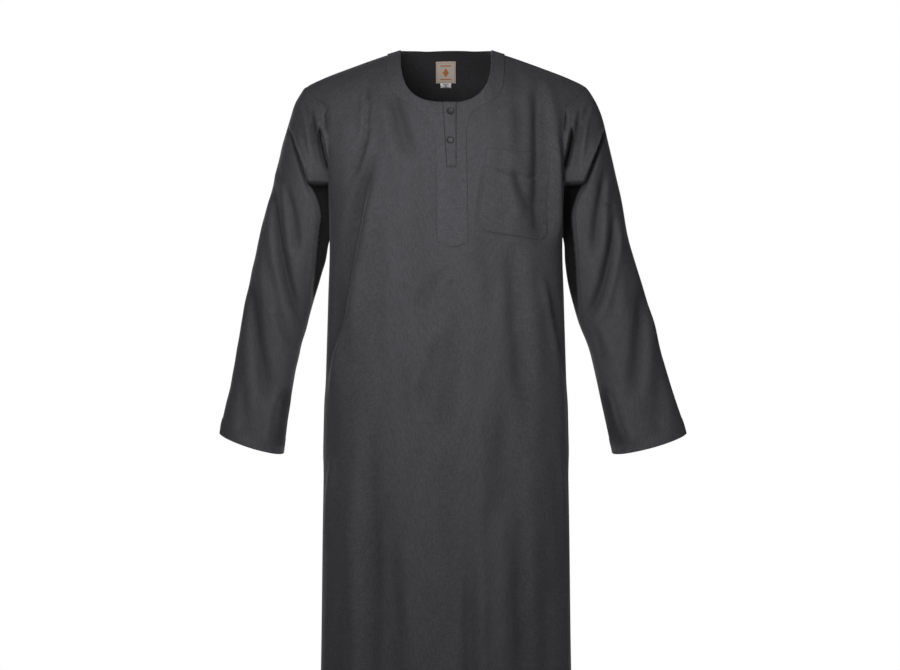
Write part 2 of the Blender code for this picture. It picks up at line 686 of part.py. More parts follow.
def make_fly(material):
    """Narrow strip that fills the slit in the facing."""
    top_z = -NECK_DROP + SEAM_GAP
    share = np.linspace(0, 1, FLY_ROWS)
    left = FLY_LEFT_TOP + (FLY_LEFT_FOOT - FLY_LEFT_TOP) * share
    across = np.linspace(0, 1, 3)
    x = left[:, None] + (FLY_RIGHT - left)[:, None] * across
    z = np.broadcast_to((top_z + (SLIT_FOOT + SEAM_GAP - top_z) * share)[:, None], x.shape)
    flat_piece("button_fly", x, drop_of(x, z), -1, material, TRIM_LIFT, TRIM_WALL)


def make_pocket(material):
    """Patch pocket with rounded lower corners, pressed flat on the chest."""
    down = np.array(POCKET_ROWS)
    across = np.linspace(0, 1, POCKET_COLUMNS)
    round_share = POCKET_ROUND / (POCKET_TOP_IN.height - POCKET_FOOT_IN.height)
    into = np.clip((down - (1 - round_share)) / round_share, 0, 1)
    inset = POCKET_ROUND * (1 - np.sqrt(1 - into**2))
    left = POCKET_TOP_IN.out + (POCKET_FOOT_IN.out - POCKET_TOP_IN.out) * down + inset
    right = POCKET_TOP_OUT.out + (POCKET_FOOT_OUT.out - POCKET_TOP_OUT.out) * down
    right -= inset * POCKET_OUTER_ROUND
    x = left[:, None] + (right - left)[:, None] * across
    top = POCKET_TOP_IN.height + (POCKET_TOP_OUT.height - POCKET_TOP_IN.height) * across
    foot = POCKET_FOOT_IN.height + (POCKET_FOOT_OUT.height - POCKET_FOOT_IN.height) * across
    z = top + (foot - top) * down[:, None]
    flat_piece("chest_pocket", x, drop_of(x, z), -1, material, POCKET_LIFT, TRIM_WALL)


def make_button(name, height, material):
    """Turned disc with a raised rim, flat on the fly."""
    corners = [(p.out * BUTTON_RADIUS, 0, p.height * BUTTON_THICK) for p in BUTTON_PROFILE]
    mesh = bpy.data.meshes.new(name)
    mesh.from_pydata(corners, [(i, i + 1) for i in range(len(corners) - 1)], [])
    mesh.materials.append(material)
    button = bpy.data.objects.new(name, mesh)
    ROBE.objects.link(button)
    turn = button.modifiers.new("turn", "SCREW")
    turn.steps = turn.render_steps = 20
    turn.use_merge_vertices = True
    turn.merge_threshold = 0.00005
    turn.use_smooth_shade = False
    point, normal = body_point(BUTTON_X, drop_of(BUTTON_X, height), -1)
    lift = TRIM_LIFT + TRIM_WALL + SEAM_GAP
    button.location = (point + normal * lift).tolist()
    tilt = math.atan2(normal[2], -normal[1])
    button.rotation_euler = (math.pi / 2 - tilt, 0, math.atan2(normal[0], -normal[1]))


def make_label(name, half, top, foot, rows, material):
    """Small woven label against the inside of the back."""
    x = LABEL_X + half * np.linspace(-1, 1, LABEL_COLUMNS)[None, :] + np.zeros((rows, 1))
    z = np.linspace(top, foot, rows)[:, None] + np.zeros((1, LABEL_COLUMNS))
    flat_piece(name, x, drop_of(x, z), +1, material, -WALL - LABEL_LIFT - LABEL_WALL, LABEL_WALL)


for old in list(bpy.data.objects):
    bpy.data.objects.remove(old)

ROBE = bpy.data.collections.new("thobe_robe")
bpy.context.scene.collection.children.link(ROBE)

suiting = make_material("charcoal_suiting", CHARCOAL, 0.85)
make_panels(suiting)
make_neck_placket(make_material("facing_suiting", CHARCOAL, 0.85))
make_fly(make_material("fly_suiting", CHARCOAL, 0.85))
make_pocket(make_material("pocket_suiting", CHARCOAL, 0.85))
horn = make_material("button_black", BUTTON_BLACK, 0.35)
for number, height in enumerate(BUTTON_HEIGHTS, start=1):
    make_button(f"button_{number}", height, horn)
make_label("neck_label", LABEL_HALF, LABEL_TOP, LABEL_FOOT, 5, make_material("label_woven", LABEL_BEIGE, 0.7))
tab_material = make_material("tab_white", TAB_WHITE, 0.7)
make_label("size_tab", TAB_HALF, LABEL_FOOT - SEAM_GAP, TAB_FOOT, 3, tab_material)
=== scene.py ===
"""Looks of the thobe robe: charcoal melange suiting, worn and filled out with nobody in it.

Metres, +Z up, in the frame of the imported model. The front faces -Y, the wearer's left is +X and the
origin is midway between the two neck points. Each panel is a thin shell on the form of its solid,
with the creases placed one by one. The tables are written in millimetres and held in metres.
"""

import math
from collections import namedtuple

import bpy
import numpy as np
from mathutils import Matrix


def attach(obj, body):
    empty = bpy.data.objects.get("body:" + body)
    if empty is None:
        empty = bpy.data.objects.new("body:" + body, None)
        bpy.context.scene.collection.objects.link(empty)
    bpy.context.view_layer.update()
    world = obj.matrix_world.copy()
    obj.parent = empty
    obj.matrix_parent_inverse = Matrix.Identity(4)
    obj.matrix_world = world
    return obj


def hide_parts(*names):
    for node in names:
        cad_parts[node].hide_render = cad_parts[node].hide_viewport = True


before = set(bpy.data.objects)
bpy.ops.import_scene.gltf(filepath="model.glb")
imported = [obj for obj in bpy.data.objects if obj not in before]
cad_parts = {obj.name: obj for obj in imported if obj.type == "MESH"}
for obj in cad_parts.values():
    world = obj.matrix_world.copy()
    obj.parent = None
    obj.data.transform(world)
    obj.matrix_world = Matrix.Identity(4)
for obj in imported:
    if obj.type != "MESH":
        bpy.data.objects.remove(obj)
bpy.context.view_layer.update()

# Form of the robe, as in the model
LENGTH = 1.42
ROUNDNESS = 2.3
ARCH = 0.16
NECK_HALF = 0.076
NECK_DROP = 0.0868
NECK_ROUND = 2.85
SHOULDER_X = 0.235
SHOULDER_Z = -0.060
UNDERARM_Z = -0.315
SLIT_FOOT = -0.194
SLIT_HALF = 0.0005
BAND_END = 0.0015
FLY_RIGHT = 0.0168
FLY_LEFT_TOP = -0.0050
FLY_LEFT_FOOT = 0.0017
PLACKET_FOOT = -0.3185
PLACKET_TIP = -0.3310
SIDE_POCKET_TOP = -0.555
SIDE_POCKET_FOOT = -0.715
SIDE_POCKET_STEP = 0.0022

# Cloth
WALL = 0.0013            # single cloth with the fullness of its seams
SEAM_GAP = 0.0003
TRIM_LIFT = 0.0002       # underside of a piece that lies on the front
TRIM_WALL = 0.0014
FLY_WALL = 1.25 * TRIM_WALL
RIM_SHARE = 0.45         # how thick the soft edge of a piece is, as a share of its wall
SEAM_DIP = 0.0007        # how far a seam lies in, over SEAM_REACH on each side
SEAM_REACH = 0.004
HEM = 0.024              # height of the turned hems
HEM_STEP = 0.0005
EDGE_STITCH = 0.0028     # a topstitch line's distance from its edge
ALLOWANCE_GAP = 0.0003
ALLOWANCE_WALL = 0.0006
CREASE_RUN = 0.28        # share of a crease's length over which each of its ends fades
DEEP = 0.010             # depth at which a crease is fully in painted shade
DEEP_TUCK = 0.012        # the same for the tucks beside the armhole
ACROSS = 0.65            # how much a sleeve's creases go straight forward or back, not out of the cloth
FOLD_SHADE = 0.22        # painted shade: how much darker the colour is at the bottom of a crease
SLEEVE_SHADE = 0.42      # the same painted shade on the sleeves, whose creases close up more
FULL_PAINTED_SHADE = 0.975          # how much of the tone full painted shade takes away
INSIDE_PAINTED_SHADE = 0.55  # painted shade: how much of the tone the wrong side loses
INSIDE = 8.0             # added to the weave's place on the wrong side of the cloth, which marks where the wrong side's painted shade goes
WARP_PITCH = 0.00062
WEFT_PITCH = 0.00070
CHARCOAL = (0.052, 0.050, 0.055)

# Mesh density
NECK_COLUMNS = 26
SHOULDER_COLUMNS = 34
ARM_ROWS = 84
SKIRT_ROWS = 244
SLEEVE_RINGS = 190
CAP_SHARE = 0.32         # share of the sleeve over which the armhole's outline becomes an oval
CUFF_DROOP = 0.006       # how far the front of the cuff hangs below its middle


def in_metres(kind, *rows):
    """A table of named rows, held in metres, from rows in millimetres."""
    return [kind(*(value / 1000 for value in row)) for row in rows]


Section = namedtuple("Section", "height half_width front_depth back_depth")
BODY = in_metres(
    Section,
    (20, 275, 108, 100),
    (-60, 262, 119, 112),
    (-100, 245, 123, 119),
    (-148, 235, 127, 125),
    (-212, 209.5, 130, 130),
    (-260, 199, 131, 131),
    (-315, 196.3, 131, 130),
    (-420, 198.8, 129, 125),
    (-560, 203, 128, 126),
    (-760, 207.5, 133, 136),
    (-1040, 211.5, 142, 142),
    (-1420, 222, 153, 152),
)

LinePoint = namedtuple("LinePoint", "out height")
SHOULDER_LINE = in_metres(
    LinePoint,
    (0, 18),
    (40, 13),
    (76, 0),
    (104, -8.8),
    (160, -28.6),
    (210, -48),
    (235, -60),
    (290, -100),
)
ARMHOLE = in_metres(
    LinePoint,
    (235, -60),
    (217, -84),
    (203.5, -100),
    (198.5, -120),
    (196, -150),
    (196, -210),
    (196.1, -260),
    (196.3, -315),
)

Ring = namedtuple("Ring", "outer_out outer_height inner_out inner_height half_depth forward")
SLEEVE_RIGHT = in_metres(
    Ring,
    (235, -60, 196.3, -315, 78, 0),
    (256, -94, 199.5, -328, 79, 0),
    (274.5, -152, 204.5, -357, 76, -2),
    (294.5, -232, 215, -396, 69, -4),
    (316, -325, 227.5, -440, 63, -3),
    (340, -428, 244, -502, 58, 2),
    (359, -540, 262, -580, 55, 12),
    (380.8, -642, 273, -675.7, 53, 26),
)
SLEEVE_LEFT = in_metres(
    Ring,
    (235, -60, 196.3, -315, 78, 0),
    (256.5, -94, 199.5, -328, 79, 0),
    (273, -152, 201, -357, 76, -2),
    (292.5, -232, 207.5, -396, 69, -4),
    (310.5, -325, 219, -440, 63, -3),
    (341, -428, 239, -502, 59, 2),
    (372.2, -540, 259.5, -580, 58, 12),
    (404.4, -642, 279.7, -675.7, 57, 26),
)

# A crease runs along a bowed line, given as seen from in front or behind. Its trough has depth below 0
# and its ridge above 0. A lip is a soft ridge beside it, towards +X, or towards -X if lip is below 0.
Crease = namedtuple("Crease", "x_top z_top x_foot z_foot bow width depth lip")
FRONT_CREASES = in_metres(
    Crease,
    # from the wearer's left shoulder down through the pocket
    (151.7, -40, 158, -345, 4, 14, -18.2, 5.9),
    (122, -70, 120, -190, 2, 14, -5, 2.6),
    (110, -190, 148, -280, 0, 10, -7, -3.9),
    (178, -120, 185, -340, 3, 7.5, 6.2, 0),
    # beside the pocket's edges and along its hem
    (60, -194, 178, -222, 1, 3.2, -2.4, -1.4),
    (62.5, -185, 50, -302, 1, 3, -2.2, -1.4),
    (50, -303, 150, -317, 1, 3, -2.2, -1.2),
    # from the pocket's foot to the left hip
    (109, -290, 134, -620, -4, 15, -7.6, 3.6),
    (154, -360, 199, -580, 3, 6.5, 5, 0),
    (168, -360, 206, -590, 3, 9, -6, 0),
    (185, -640, 206, -840, 2, 6.5, 4.2, 0),
    (85, -440, 70, -650, 4, 17, 4.2, 0),
    # across the right chest to the right hip
    (-131.4, -45, -133, -160, 1, 4.2, -4.8, -2.6),
    (-132, -125, -165, -225, 4, 6.5, -6.2, 3.1),
    (-98.5, -55, -56, -195, 2, 12, -8.7, -4.7),
    (-118, -155, -190, -520, -12, 13, -16.1, 6.5),
    (-146, -230, -176, -420, -4, 7, -3, 1.6),
    (-158, -420, -204, -600, -3, 6.5, 4.8, 0),
    (-174, -420, -208, -600, -3, 9, -5, 0),
    (-187, -660, -206, -850, -2, 6.5, 4.2, 0),
    # below the placket
    (8, -356, -50, -440, -8, 8.5, -5.2, 2.8),
    (20, -420, -11, -680, -7, 20, -5.2, 2.6),
    (-10.1, -460, -50, -620, 4, 11, -4.2, -2.4),
    (48, -340, 58, -540, 3, 14, 2.6, 0),
    (-80, -300, -98, -540, -4, 18, 4, 0),
    # long hanging folds of the skirt
    (-128.1, -560, -130, -1300, 5, 19, -9, -4.8),
    (-86, -740, -76, -1400, -4, 16, -7.5, 4),
    (-45, -900, -52, -1500, 4, 20, 5.5, 0),
    (5, -640, 3, -900, 4, 18, -3.6, 0),
    (37.1, -800, 40, -1480, 2, 12, -7.8, 4.2),
    (55.6, -520, 60, -1060, 3, 12, 4.2, 0),
    (93, -520, 86, -820, 3, 19, -5.5, 0),
    (120.6, -680, 128, -1500, 4, 17, -10, -4.5),
    (166, -740, 172, -1420, 3, 18, -5, 2.6),
    (-172, -800, -179, -1460, -3, 18, -5, 2.4),
)
BACK_CREASES = in_metres(
    Crease,
    (148, -80, 140, -430, 6, 17, -8.5, -2.6),
    (172, -120, 179, -330, 3, 10, 3.2, 0),
    (-144, -80, -150, -470, -8, 18, -8, 2.8),
    (-174, -110, -180, -320, -2, 10, 3, 0),
    (-70, -50, -50, -160, 2, 14, -2.4, -1.2),
    (78, -52, 56, -170, -2, 13, -2.2, 1),
    (10, -390, 100, -560, 12, 16, -5.8, 2.2),
    (40, -460, 150, -600, 12, 13, -3.6, -1.6),
    (-24, -380, -118, -570, -12, 17, -5.4, -2.2),
    (-70, -480, -160, -610, -10, 12, -3, 1.4),
    (-185, -640, -206, -830, -2, 8, 2.6, 0),
    (185, -660, 206, -840, 2, 8, 2.6, 0),
    (-105, -610, -118, -1500, 8, 23, -7.8, -3),
    (95, -600, 108, -1500, -8, 24, -8, 3),
    (3, -660, 10, -1500, 6, 24, -6.2, 2.6),
    (-48, -760, -56, -1500, -4, 18, 3.8, 0),
    (52, -820, 58, -1500, 3, 17, 3.4, 0),
    (165, -780, 171, -1440, 3, 19, -3.4, 1.8),
    (-164, -740, -172, -1460, -3, 19, -3.2, 1.4),
)
# On the sleeves x grows away from the body, so that one list can serve either side
RIGHT_SLEEVE_FRONT = in_metres(
    Crease,
    # the fold whose edge hangs over the hollow at the underarm
    (271.2, -119, 223, -246, 0, 3, -15, -5.6),
    (256, -130, 219, -232, -3, 6, 4, 0),
    # soft folds of the sleeve head, beside the armhole
    (225, -110, 207, -200, 3, 5, -4.2, 2.4),
    (242, -80, 212, -175, -3, 5, -3.4, 2),
    # down the arm
    (270, -215, 248, -350, -4, 7, -6, 3),
    (290, -205, 234, -480, 12, 8, -12, 5.2),
    (285, -190, 274, -225, 0, 5, -3, 1.6),
    (306, -250, 308, -430, 4, 9, 4, 0),
    (326.9, -360, 290, -610, 6, 12, -9.5, 4),
    (268, -560, 286, -690, -2, 11, -15, 5),
    (286, -420, 250, -510, 4, 7, -4.5, 2.4),
    (338, -540, 330, -660, 3, 10, -3, 1.8),
)
LEFT_SLEEVE_FRONT = in_metres(
    Crease,
    (272.5, -120, 224, -247, 0, 3, -15, -5.6),
    (258, -136, 220, -236, -3, 6, 3.8, 0),
    (227, -112, 208, -205, 3, 5.2, -4.8, 2.6),
    (243.6, -80, 212, -170, -2, 5, -3.4, 2),
    (268, -190, 248, -355, -4, 7.5, -7.8, 3.6),
    (279, -260, 228, -470, 16, 8, -12, 5.2),
    (292, -260, 296, -460, 3, 10, 4.2, 0),
    (262, -254, 285, -264, 0, 4.2, -3.4, 1.4),
    (330, -375, 306, -600, 4, 12, -9, 4),
    (262, -555, 301, -690, -4, 11.5, -15, 5),
    (250, -460, 266, -530, 0, 7, -4, 2),
    (358, -540, 352, -660, 3, 11, -2.8, 1.6),
)
# Edge of the fold that hangs over the hollow at the underarm
HOLLOW_EDGE = in_metres(
    LinePoint,
    (235, -222),
    (224, -245.5),
    (217, -273),
    (219, -302),
    (222.2, -340),
    (225.5, -397),
    (229, -455),
)
HOLLOW_TOP = -0.2195
HOLLOW_FOOT = -0.4650
HOLLOW_BACK = -0.004     # y of its deepest line
# Lengths over which it sinks, from the fold's edge, from its top and from its foot
HOLLOW_SIDE_RUN, HOLLOW_TOP_RUN, HOLLOW_FOOT_RUN = 0.0062, 0.0065, 0.060
# Tucks of the sleeve head beside the armhole, pressed straight back
SLEEVE_TUCKS = in_metres(
    Crease,
    (226, -88, 198.5, -198, 3, 4, -6, -2),
    (212.5, -122, 196.5, -206, 1.5, 3.6, -22, 0),
    (201, -98, 198, -140, 0, 2.6, -6, 0),
)
SLEEVE_BACK = in_metres(
    Crease,
    (260, -110, 208, -270, 4, 9, -7.8, 3),
    (238, -80, 204, -200, -2, 8, -4.4, 2),
    (278, -190, 236, -340, 6, 9, -5.6, 2.4),
    (296, -290, 242, -450, 10, 9, -6.6, 3),
    (308, -360, 260, -500, 8, 8, -5, 2.2),
    (330, -440, 304, -620, 4, 12, -5.6, 2.4),
    (280, -520, 290, -650, -2, 10, -4.4, 1.8),
)

# Outline of the neck band and placket, from a shoulder seam down to the placket's corner. Its last two
# points are at heights named above, in metres.
BAND_LEFT = in_metres(
    LinePoint,
    (98.5, -7),
    (97, -45),
    (88, -74),
    (60, -93),
    (43, -106),
    (36, -125),
    (34.5, -160),
) + [LinePoint(0.0350, SLIT_FOOT), LinePoint(0.0370, PLACKET_FOOT)]
BAND_RIGHT = in_metres(
    LinePoint,
    (-98.5, -7),
    (-97, -45),
    (-88, -72),
    (-64, -89),
    (-40, -104),
    (-24, -126),
    (-18, -158),
) + [LinePoint(-0.0165, SLIT_FOOT), LinePoint(-0.0160, PLACKET_FOOT)]

POCKET_TOP_IN = LinePoint(0.0670, -0.1630)
POCKET_TOP_OUT = LinePoint(0.1740, -0.1720)
POCKET_FOOT_IN = LinePoint(0.0530, -0.3010)
POCKET_FOOT_OUT = LinePoint(0.1720, -0.3170)
POCKET_ROUND = 0.020
POCKET_HEM = (0.225, 0.330)   # share of its height at which the pocket's hem line starts and ends

FLY_BOX_SPAN = (-0.0135, 0.0325)      # x of the ends of the box stitched at the fly's foot
FLY_BOX_DROPS = (0.0012, 0.0060)      # how far below the slit its two lines run

BUTTON_X = 0.0068
BUTTON_HEIGHTS = (-0.1028, -0.1500)
BUTTON_RADIUS = 0.0062
BUTTON_THICK = 0.0024
HOLE_RADIUS = 0.00075

LABEL_X = -0.0005
LABEL_TOP = -0.0168
LABEL_FOOT = -0.0530
LABEL_HALF = 0.0170
TAB_FOOT = -0.0610
TAB_HALF = 0.0092
LABEL_LIFT = 0.0004
LABEL_BOW = 0.0012       # how far the middle of a label stands off the back
LABEL_COLUMNS = 15
LABEL_WALL = 0.0006


# ---------------------------------------------------------------- form

def smooth_curve(knots, values, at):
    """A smooth curve through the values at the knots, read at 'at'. The knots rise."""
    knots = np.asarray(knots, float)
    values = np.asarray(values, float)
    slopes = np.gradient(values, knots)
    at = np.clip(at, knots[0], knots[-1])
    i = np.clip(np.searchsorted(knots, at) - 1, 0, len(knots) - 2)
    step = knots[i + 1] - knots[i]
    t = (at - knots[i]) / step
    keep = (1 + 2 * t) * (1 - t) ** 2 * values[i] + t * t * (3 - 2 * t) * values[i + 1]
    return keep + step * t * (1 - t) * ((1 - t) * slopes[i] - t * slopes[i + 1])


def read_down(table, column, height):
    """A column of a table whose heights fall from row to row."""
    rows = table[::-1]
    return smooth_curve([r.height for r in rows], [getattr(r, column) for r in rows], height)


def shoulder_height(x):
    return smooth_curve([p.out for p in SHOULDER_LINE], [p.height for p in SHOULDER_LINE], np.abs(x))


def ease(t):
    t = np.clip(t, 0.0, 1.0)
    return t * t * (3 - 2 * t)


def crease_depths(table, x, z):
    """Sum of the creases at points (x, z), as a distance out of the cloth."""
    total = np.zeros(np.shape(x))
    for crease in table:
        run_x, run_z = crease.x_foot - crease.x_top, crease.z_foot - crease.z_top
        length = math.hypot(run_x, run_z)
        from_x, from_z = x - crease.x_top, z - crease.z_top
        t = (from_x * run_x + from_z * run_z) / length**2
        off = (from_z * run_x - from_x * run_z) / length - 4 * crease.bow * t * (1 - t)
        width = crease.width * (0.75 + 0.5 * np.clip(t, 0, 1))
        shape = crease.depth * np.exp(-((off / width) ** 2))
        beside = math.copysign(1.9, crease.lip) * width
        shape += abs(crease.lip) * np.exp(-(((off - beside) / width) ** 2))
        total += shape * ease(t / CREASE_RUN) * ease((1 - t) / CREASE_RUN)
    return total


def rumple(x, z, seed):
    """Low waves that keep the cloth from looking pressed, mostly upright."""
    waves = np.random.default_rng(seed)
    total = np.zeros(np.shape(x))
    for size, height in ((0.110, 0.00055), (0.060, 0.00032), (0.034, 0.00016)):
        for _ in range(6):
            lean = waves.normal(0, 0.32)
            phase = waves.uniform(0, 2 * math.pi)
            per_metre = 2 * math.pi / (size * waves.uniform(0.8, 1.3))
            total += height * np.sin(per_metre * (x * math.cos(lean) + z * math.sin(lean)) + phase)
    return total


def drop_of(x, z):
    """Length of cloth from the shoulder line down to height z, round the arch of the shoulder."""
    below = np.maximum((shoulder_height(x) - z) / ARCH, 0)
    return ARCH * np.where(below < 1, np.arccos(1 - np.minimum(below, 1)), math.pi / 2 + below - 1)


def on_cloth(x, z):
    """(x, drop) of points (x, z)."""
    return np.stack([x, drop_of(x, z)], axis=1)


def body_surface(x, drop, side):
    """Points of the front (side -1) or back (side +1), a length of cloth below the shoulder line."""
    arch = np.minimum(drop / ARCH, math.pi / 2)
    z = shoulder_height(x) - ARCH * (1 - np.cos(arch)) - np.maximum(drop - ARCH * math.pi / 2, 0)
    column = "front_depth" if side < 0 else "back_depth"
    across = np.clip(np.abs(x) / read_down(BODY, "half_width", z), 0, 1)
    rounded = (1 - across**ROUNDNESS) ** (1 / ROUNDNESS)
    return np.stack([x, side * read_down(BODY, column, z) * rounded * np.sin(arch), z], axis=-1)


def body_creases(x, z, side):
    """How far out the creases move a body panel, fading out at its seams."""
    across = np.abs(x) / read_down(BODY, "half_width", z)
    edge = ease((1 - across) / 0.05)
    armhole = ease((read_down(ARMHOLE, "out", z) - np.abs(x)) / 0.012)
    shoulder = ease((shoulder_height(x) - z) / 0.03)
    fade = edge * np.where(z > UNDERARM_Z, armhole, 1.0) * shoulder
    table = FRONT_CREASES if side < 0 else BACK_CREASES
    return fade * (crease_depths(table, x, z) + rumple(x, z, 11 + side))


def body_point(x, drop, side):
    """(points, normals) of the creased body surface, for pieces that lie on a panel."""
    x, drop = np.broadcast_arrays(np.asarray(x, float), np.asarray(drop, float))

    def plain(x, drop):
        return body_surface(x, drop, side)

    def facing(at, x, drop, step=4e-4):
        along = at(x + step, drop) - at(x - step, drop)
        down = at(x, drop + step) - at(x, drop - step)
        normal = np.cross(along, down) * side
        return normal / np.linalg.norm(normal, axis=-1, keepdims=True)

    def creased(x, drop):
        points = plain(x, drop)
        return points + facing(plain, x, drop) * body_creases(x, points[..., 2], side)[..., None]

    return creased(x, drop), facing(creased, x, drop)


def arc_samples(line, count, side=-1):
    """Points (x, drop) spaced evenly along a line of them on the body."""
    steps = np.linalg.norm(np.diff(body_surface(line[:, 0], line[:, 1], side), axis=0), axis=1)
    lengths = np.concatenate([[0], np.cumsum(steps)])
    at = np.linspace(0, lengths[-1], count)
    return np.stack([np.interp(at, lengths, line[:, k]) for k in range(2)], axis=1)


def neck_outline(side):
    """Half of the neck hole as (x, drop), finely, from its middle to the neck point."""
    share = np.linspace(0, 1, 1200)
    angle = math.pi / 2 * (1 - (1 - share) ** 3)
    if side < 0:
        x = NECK_HALF * np.sin(angle) ** (2 / NECK_ROUND)
        z = -NECK_DROP * np.maximum(np.cos(angle), 0) ** (2 / NECK_ROUND)
    else:
        x = NECK_HALF * np.sin(angle)
        z = np.zeros(len(x))
    line = on_cloth(x, z)
    line[-1, 1] = 0.0
    return line


def top_edge(side):
    """Half of a panel's top edge as (x, drop), from the middle of the neck to the shoulder point."""
    neck = arc_samples(neck_outline(side), NECK_COLUMNS + 1, side)
    x = np.linspace(NECK_HALF, SHOULDER_X, SHOULDER_COLUMNS + 1)[1:]
    return np.concatenate([neck, np.stack([x, np.zeros(len(x))], axis=1)])


def ring_angles():
    """Angles of the columns round a body section, from the middle of a panel to its side seam."""
    near = np.linspace(0, math.radians(32), NECK_COLUMNS + 1)
    far = np.linspace(math.radians(32), math.pi / 2, SHOULDER_COLUMNS + 1)[1:]
    return np.concatenate([near, far])


def ring_point(angle, z, side):
    """Point on the body's section at height z."""
    sine, cosine = np.sin(angle), np.cos(angle)
    reach = (np.abs(sine) ** ROUNDNESS + np.abs(cosine) ** ROUNDNESS) ** (-1 / ROUNDNESS)
    column = "front_depth" if side < 0 else "back_depth"
    x = read_down(BODY, "half_width", z) * reach * sine
    y = side * read_down(BODY, column, z) * reach * cosine
    return x, y


def arm_shares():
    """Share of the cloth from shoulder to underarm above each row, closer together at the underarm."""
    even = np.linspace(0, 1, ARM_ROWS + 1)
    return 0.65 * even + 0.35 * np.sin(math.pi / 2 * even)


def body_panel(side):
    """Rows by columns of points, from the wearer's right (-X) to the left (+X)."""
    angles = ring_angles()
    top = top_edge(side)
    foot_x, _ = ring_point(angles, UNDERARM_Z, side)
    spread = np.linspace(0, 1, len(angles)) ** 2
    rows = []
    foot_drop = drop_of(foot_x, UNDERARM_Z)
    for share in arm_shares():
        drop = top[:, 1] + (foot_drop - top[:, 1]) * share
        x = top[:, 0] + (foot_x - top[:, 0]) * share
        edge_z = body_surface(x[-1:], drop[-1:], side)[0, 2]
        x = x + spread * (read_down(ARMHOLE, "out", edge_z) - x[-1])
        rows.append(body_surface(x, drop, side))
    for z in np.linspace(UNDERARM_Z, -LENGTH, SKIRT_ROWS + 1)[1:]:
        x, y = ring_point(angles, z, side)
        rows.append(np.stack([x, y, np.full(len(x), z)], axis=1))
    half = np.array(rows)
    # The seams lie exactly in the plane of the side seams
    half[ARM_ROWS:, -1, 1] = 0.0
    half[0, NECK_COLUMNS:, 1] = 0.0
    mirrored = half[:, :0:-1] * (-1, 1, 1)
    return np.concatenate([mirrored, half], axis=1)


def sleeve_grid(table, sign, front, back):
    """(rings by points round a sleeve, sine of each point's turn, share of the length of each ring)."""
    seam = -1 if sign > 0 else 0
    loop = np.concatenate([front[: ARM_ROWS + 1, seam], back[1:ARM_ROWS, seam][::-1]])
    shares = (SHOULDER_Z - loop[:, 2]) / (SHOULDER_Z - UNDERARM_Z)
    cosine = 1 - 2 * shares
    sine = 2 * np.sqrt(np.clip(shares * (1 - shares), 0, None))
    sine[ARM_ROWS + 1 :] *= -1
    knots = np.linspace(0, 1, len(table))
    at = np.linspace(0, 1, SLEEVE_RINGS + 1)
    read = {name: smooth_curve(knots, [getattr(r, name) for r in table], at) for name in Ring._fields}
    rings = []
    for k in range(SLEEVE_RINGS + 1):
        outer, inner = (
            np.array([sign * read[edge + "_out"][k], -read["forward"][k], read[edge + "_height"][k]])
            for edge in ("outer", "inner")
        )
        oval = (outer + inner) / 2 + np.outer(cosine, (outer - inner) / 2)
        oval[:, 1] -= sine * read["half_depth"][k]
        oval[:, 2] -= sine * CUFF_DROOP * at[k] ** 2
        if k == 0:
            residue = loop - oval
        cap = np.clip(1 - at[k] / CAP_SHARE, 0, 1) ** 2
        rings.append(oval + cap * residue)
    return np.array(rings), sine, at


# ---------------------------------------------------------------- meshes

def quads(rows, columns, wrap=False):
    """Faces of a grid of points stored row by row."""
    index = np.arange(rows * columns).reshape(rows, columns)
    right = np.roll(index, -1, axis=1)
    if not wrap:
        index, right = index[:, :-1], right[:, :-1]
    return np.stack([index[:-1], right[:-1], right[1:], index[1:]], axis=-1).reshape(-1, 4)


def vertex_normals(points, faces):
    normals = np.zeros(points.shape)
    cross = np.cross(points[faces[:, 2]] - points[faces[:, 0]], points[faces[:, 3]] - points[faces[:, 1]])
    for k in range(4):
        np.add.at(normals, faces[:, k], cross)
    return normals


def unit(vectors):
    return vectors / np.linalg.norm(vectors, axis=-1, keepdims=True)


def welded_sum(points, vectors):
    """Unit sum of the vectors of points that coincide."""
    _, index = np.unique(np.round(points, 6), axis=0, return_inverse=True)
    index = index.reshape(-1)
    total = np.zeros((index.max() + 1, 3))
    np.add.at(total, index, vectors)
    return unit(total[index])


def shared_normals(grids, faces):
    """Unit normals of panels that share seams. At the armholes they halve the angle between the
    body and the sleeve, so that both walls end on one mitre."""
    points = {name: grids[name].reshape(-1, 3) for name in grids}
    raw = {name: vertex_normals(points[name], faces[name]) for name in grids}
    body = welded_sum(np.concatenate([points["front"], points["back"]]),
                      np.concatenate([raw["front"], raw["back"]]))
    level = dict(zip(("front", "back"), np.split(body, [len(points["front"])])))
    for name in ("sleeve_right", "sleeve_left"):
        level[name] = unit(raw[name])
    # The front and the back share the ends of each armhole, so those count once for both
    share = {name: np.full((len(points[name]), 1), 1.0) for name in grids}
    for name in ("front", "back"):
        lattice = share[name].reshape(grids[name].shape[:2])
        lattice[[0, 0, ARM_ROWS, ARM_ROWS], [0, -1, 0, -1]] = 0.5
    total = welded_sum(np.concatenate(list(points.values())),
                       np.concatenate([level[name] * share[name] for name in points]))
    return dict(zip(points, np.split(total, np.cumsum([len(p) for p in points.values()])[:-1])))


def pull_in(points, seam, inside, closed=False):
    """Moves the points of a seam half the gap towards the line inside it, square to the seam."""
    line = points[seam]
    if closed:
        along = np.roll(line, -1, axis=0) - np.roll(line, 1, axis=0)
    else:
        along = np.gradient(line, axis=0)
    along = unit(along)
    inward = points[inside] - line
    inward -= along * (along * inward).sum(axis=1, keepdims=True)
    points[seam] += unit(inward) * (SEAM_GAP / 2)


def rim_edges(faces):
    """Directed edges that only one face has."""
    ends = np.concatenate([faces[:, [k, (k + 1) % 4]] for k in range(4)])
    _, index, count = np.unique(np.sort(ends, axis=1), axis=0, return_inverse=True, return_counts=True)
    return ends[count[index.reshape(-1)] == 1]


def new_object(name, data):
    """An object of the data, in the scene."""
    made = bpy.data.objects.new(name, data)
    bpy.context.scene.collection.objects.link(made)
    return made


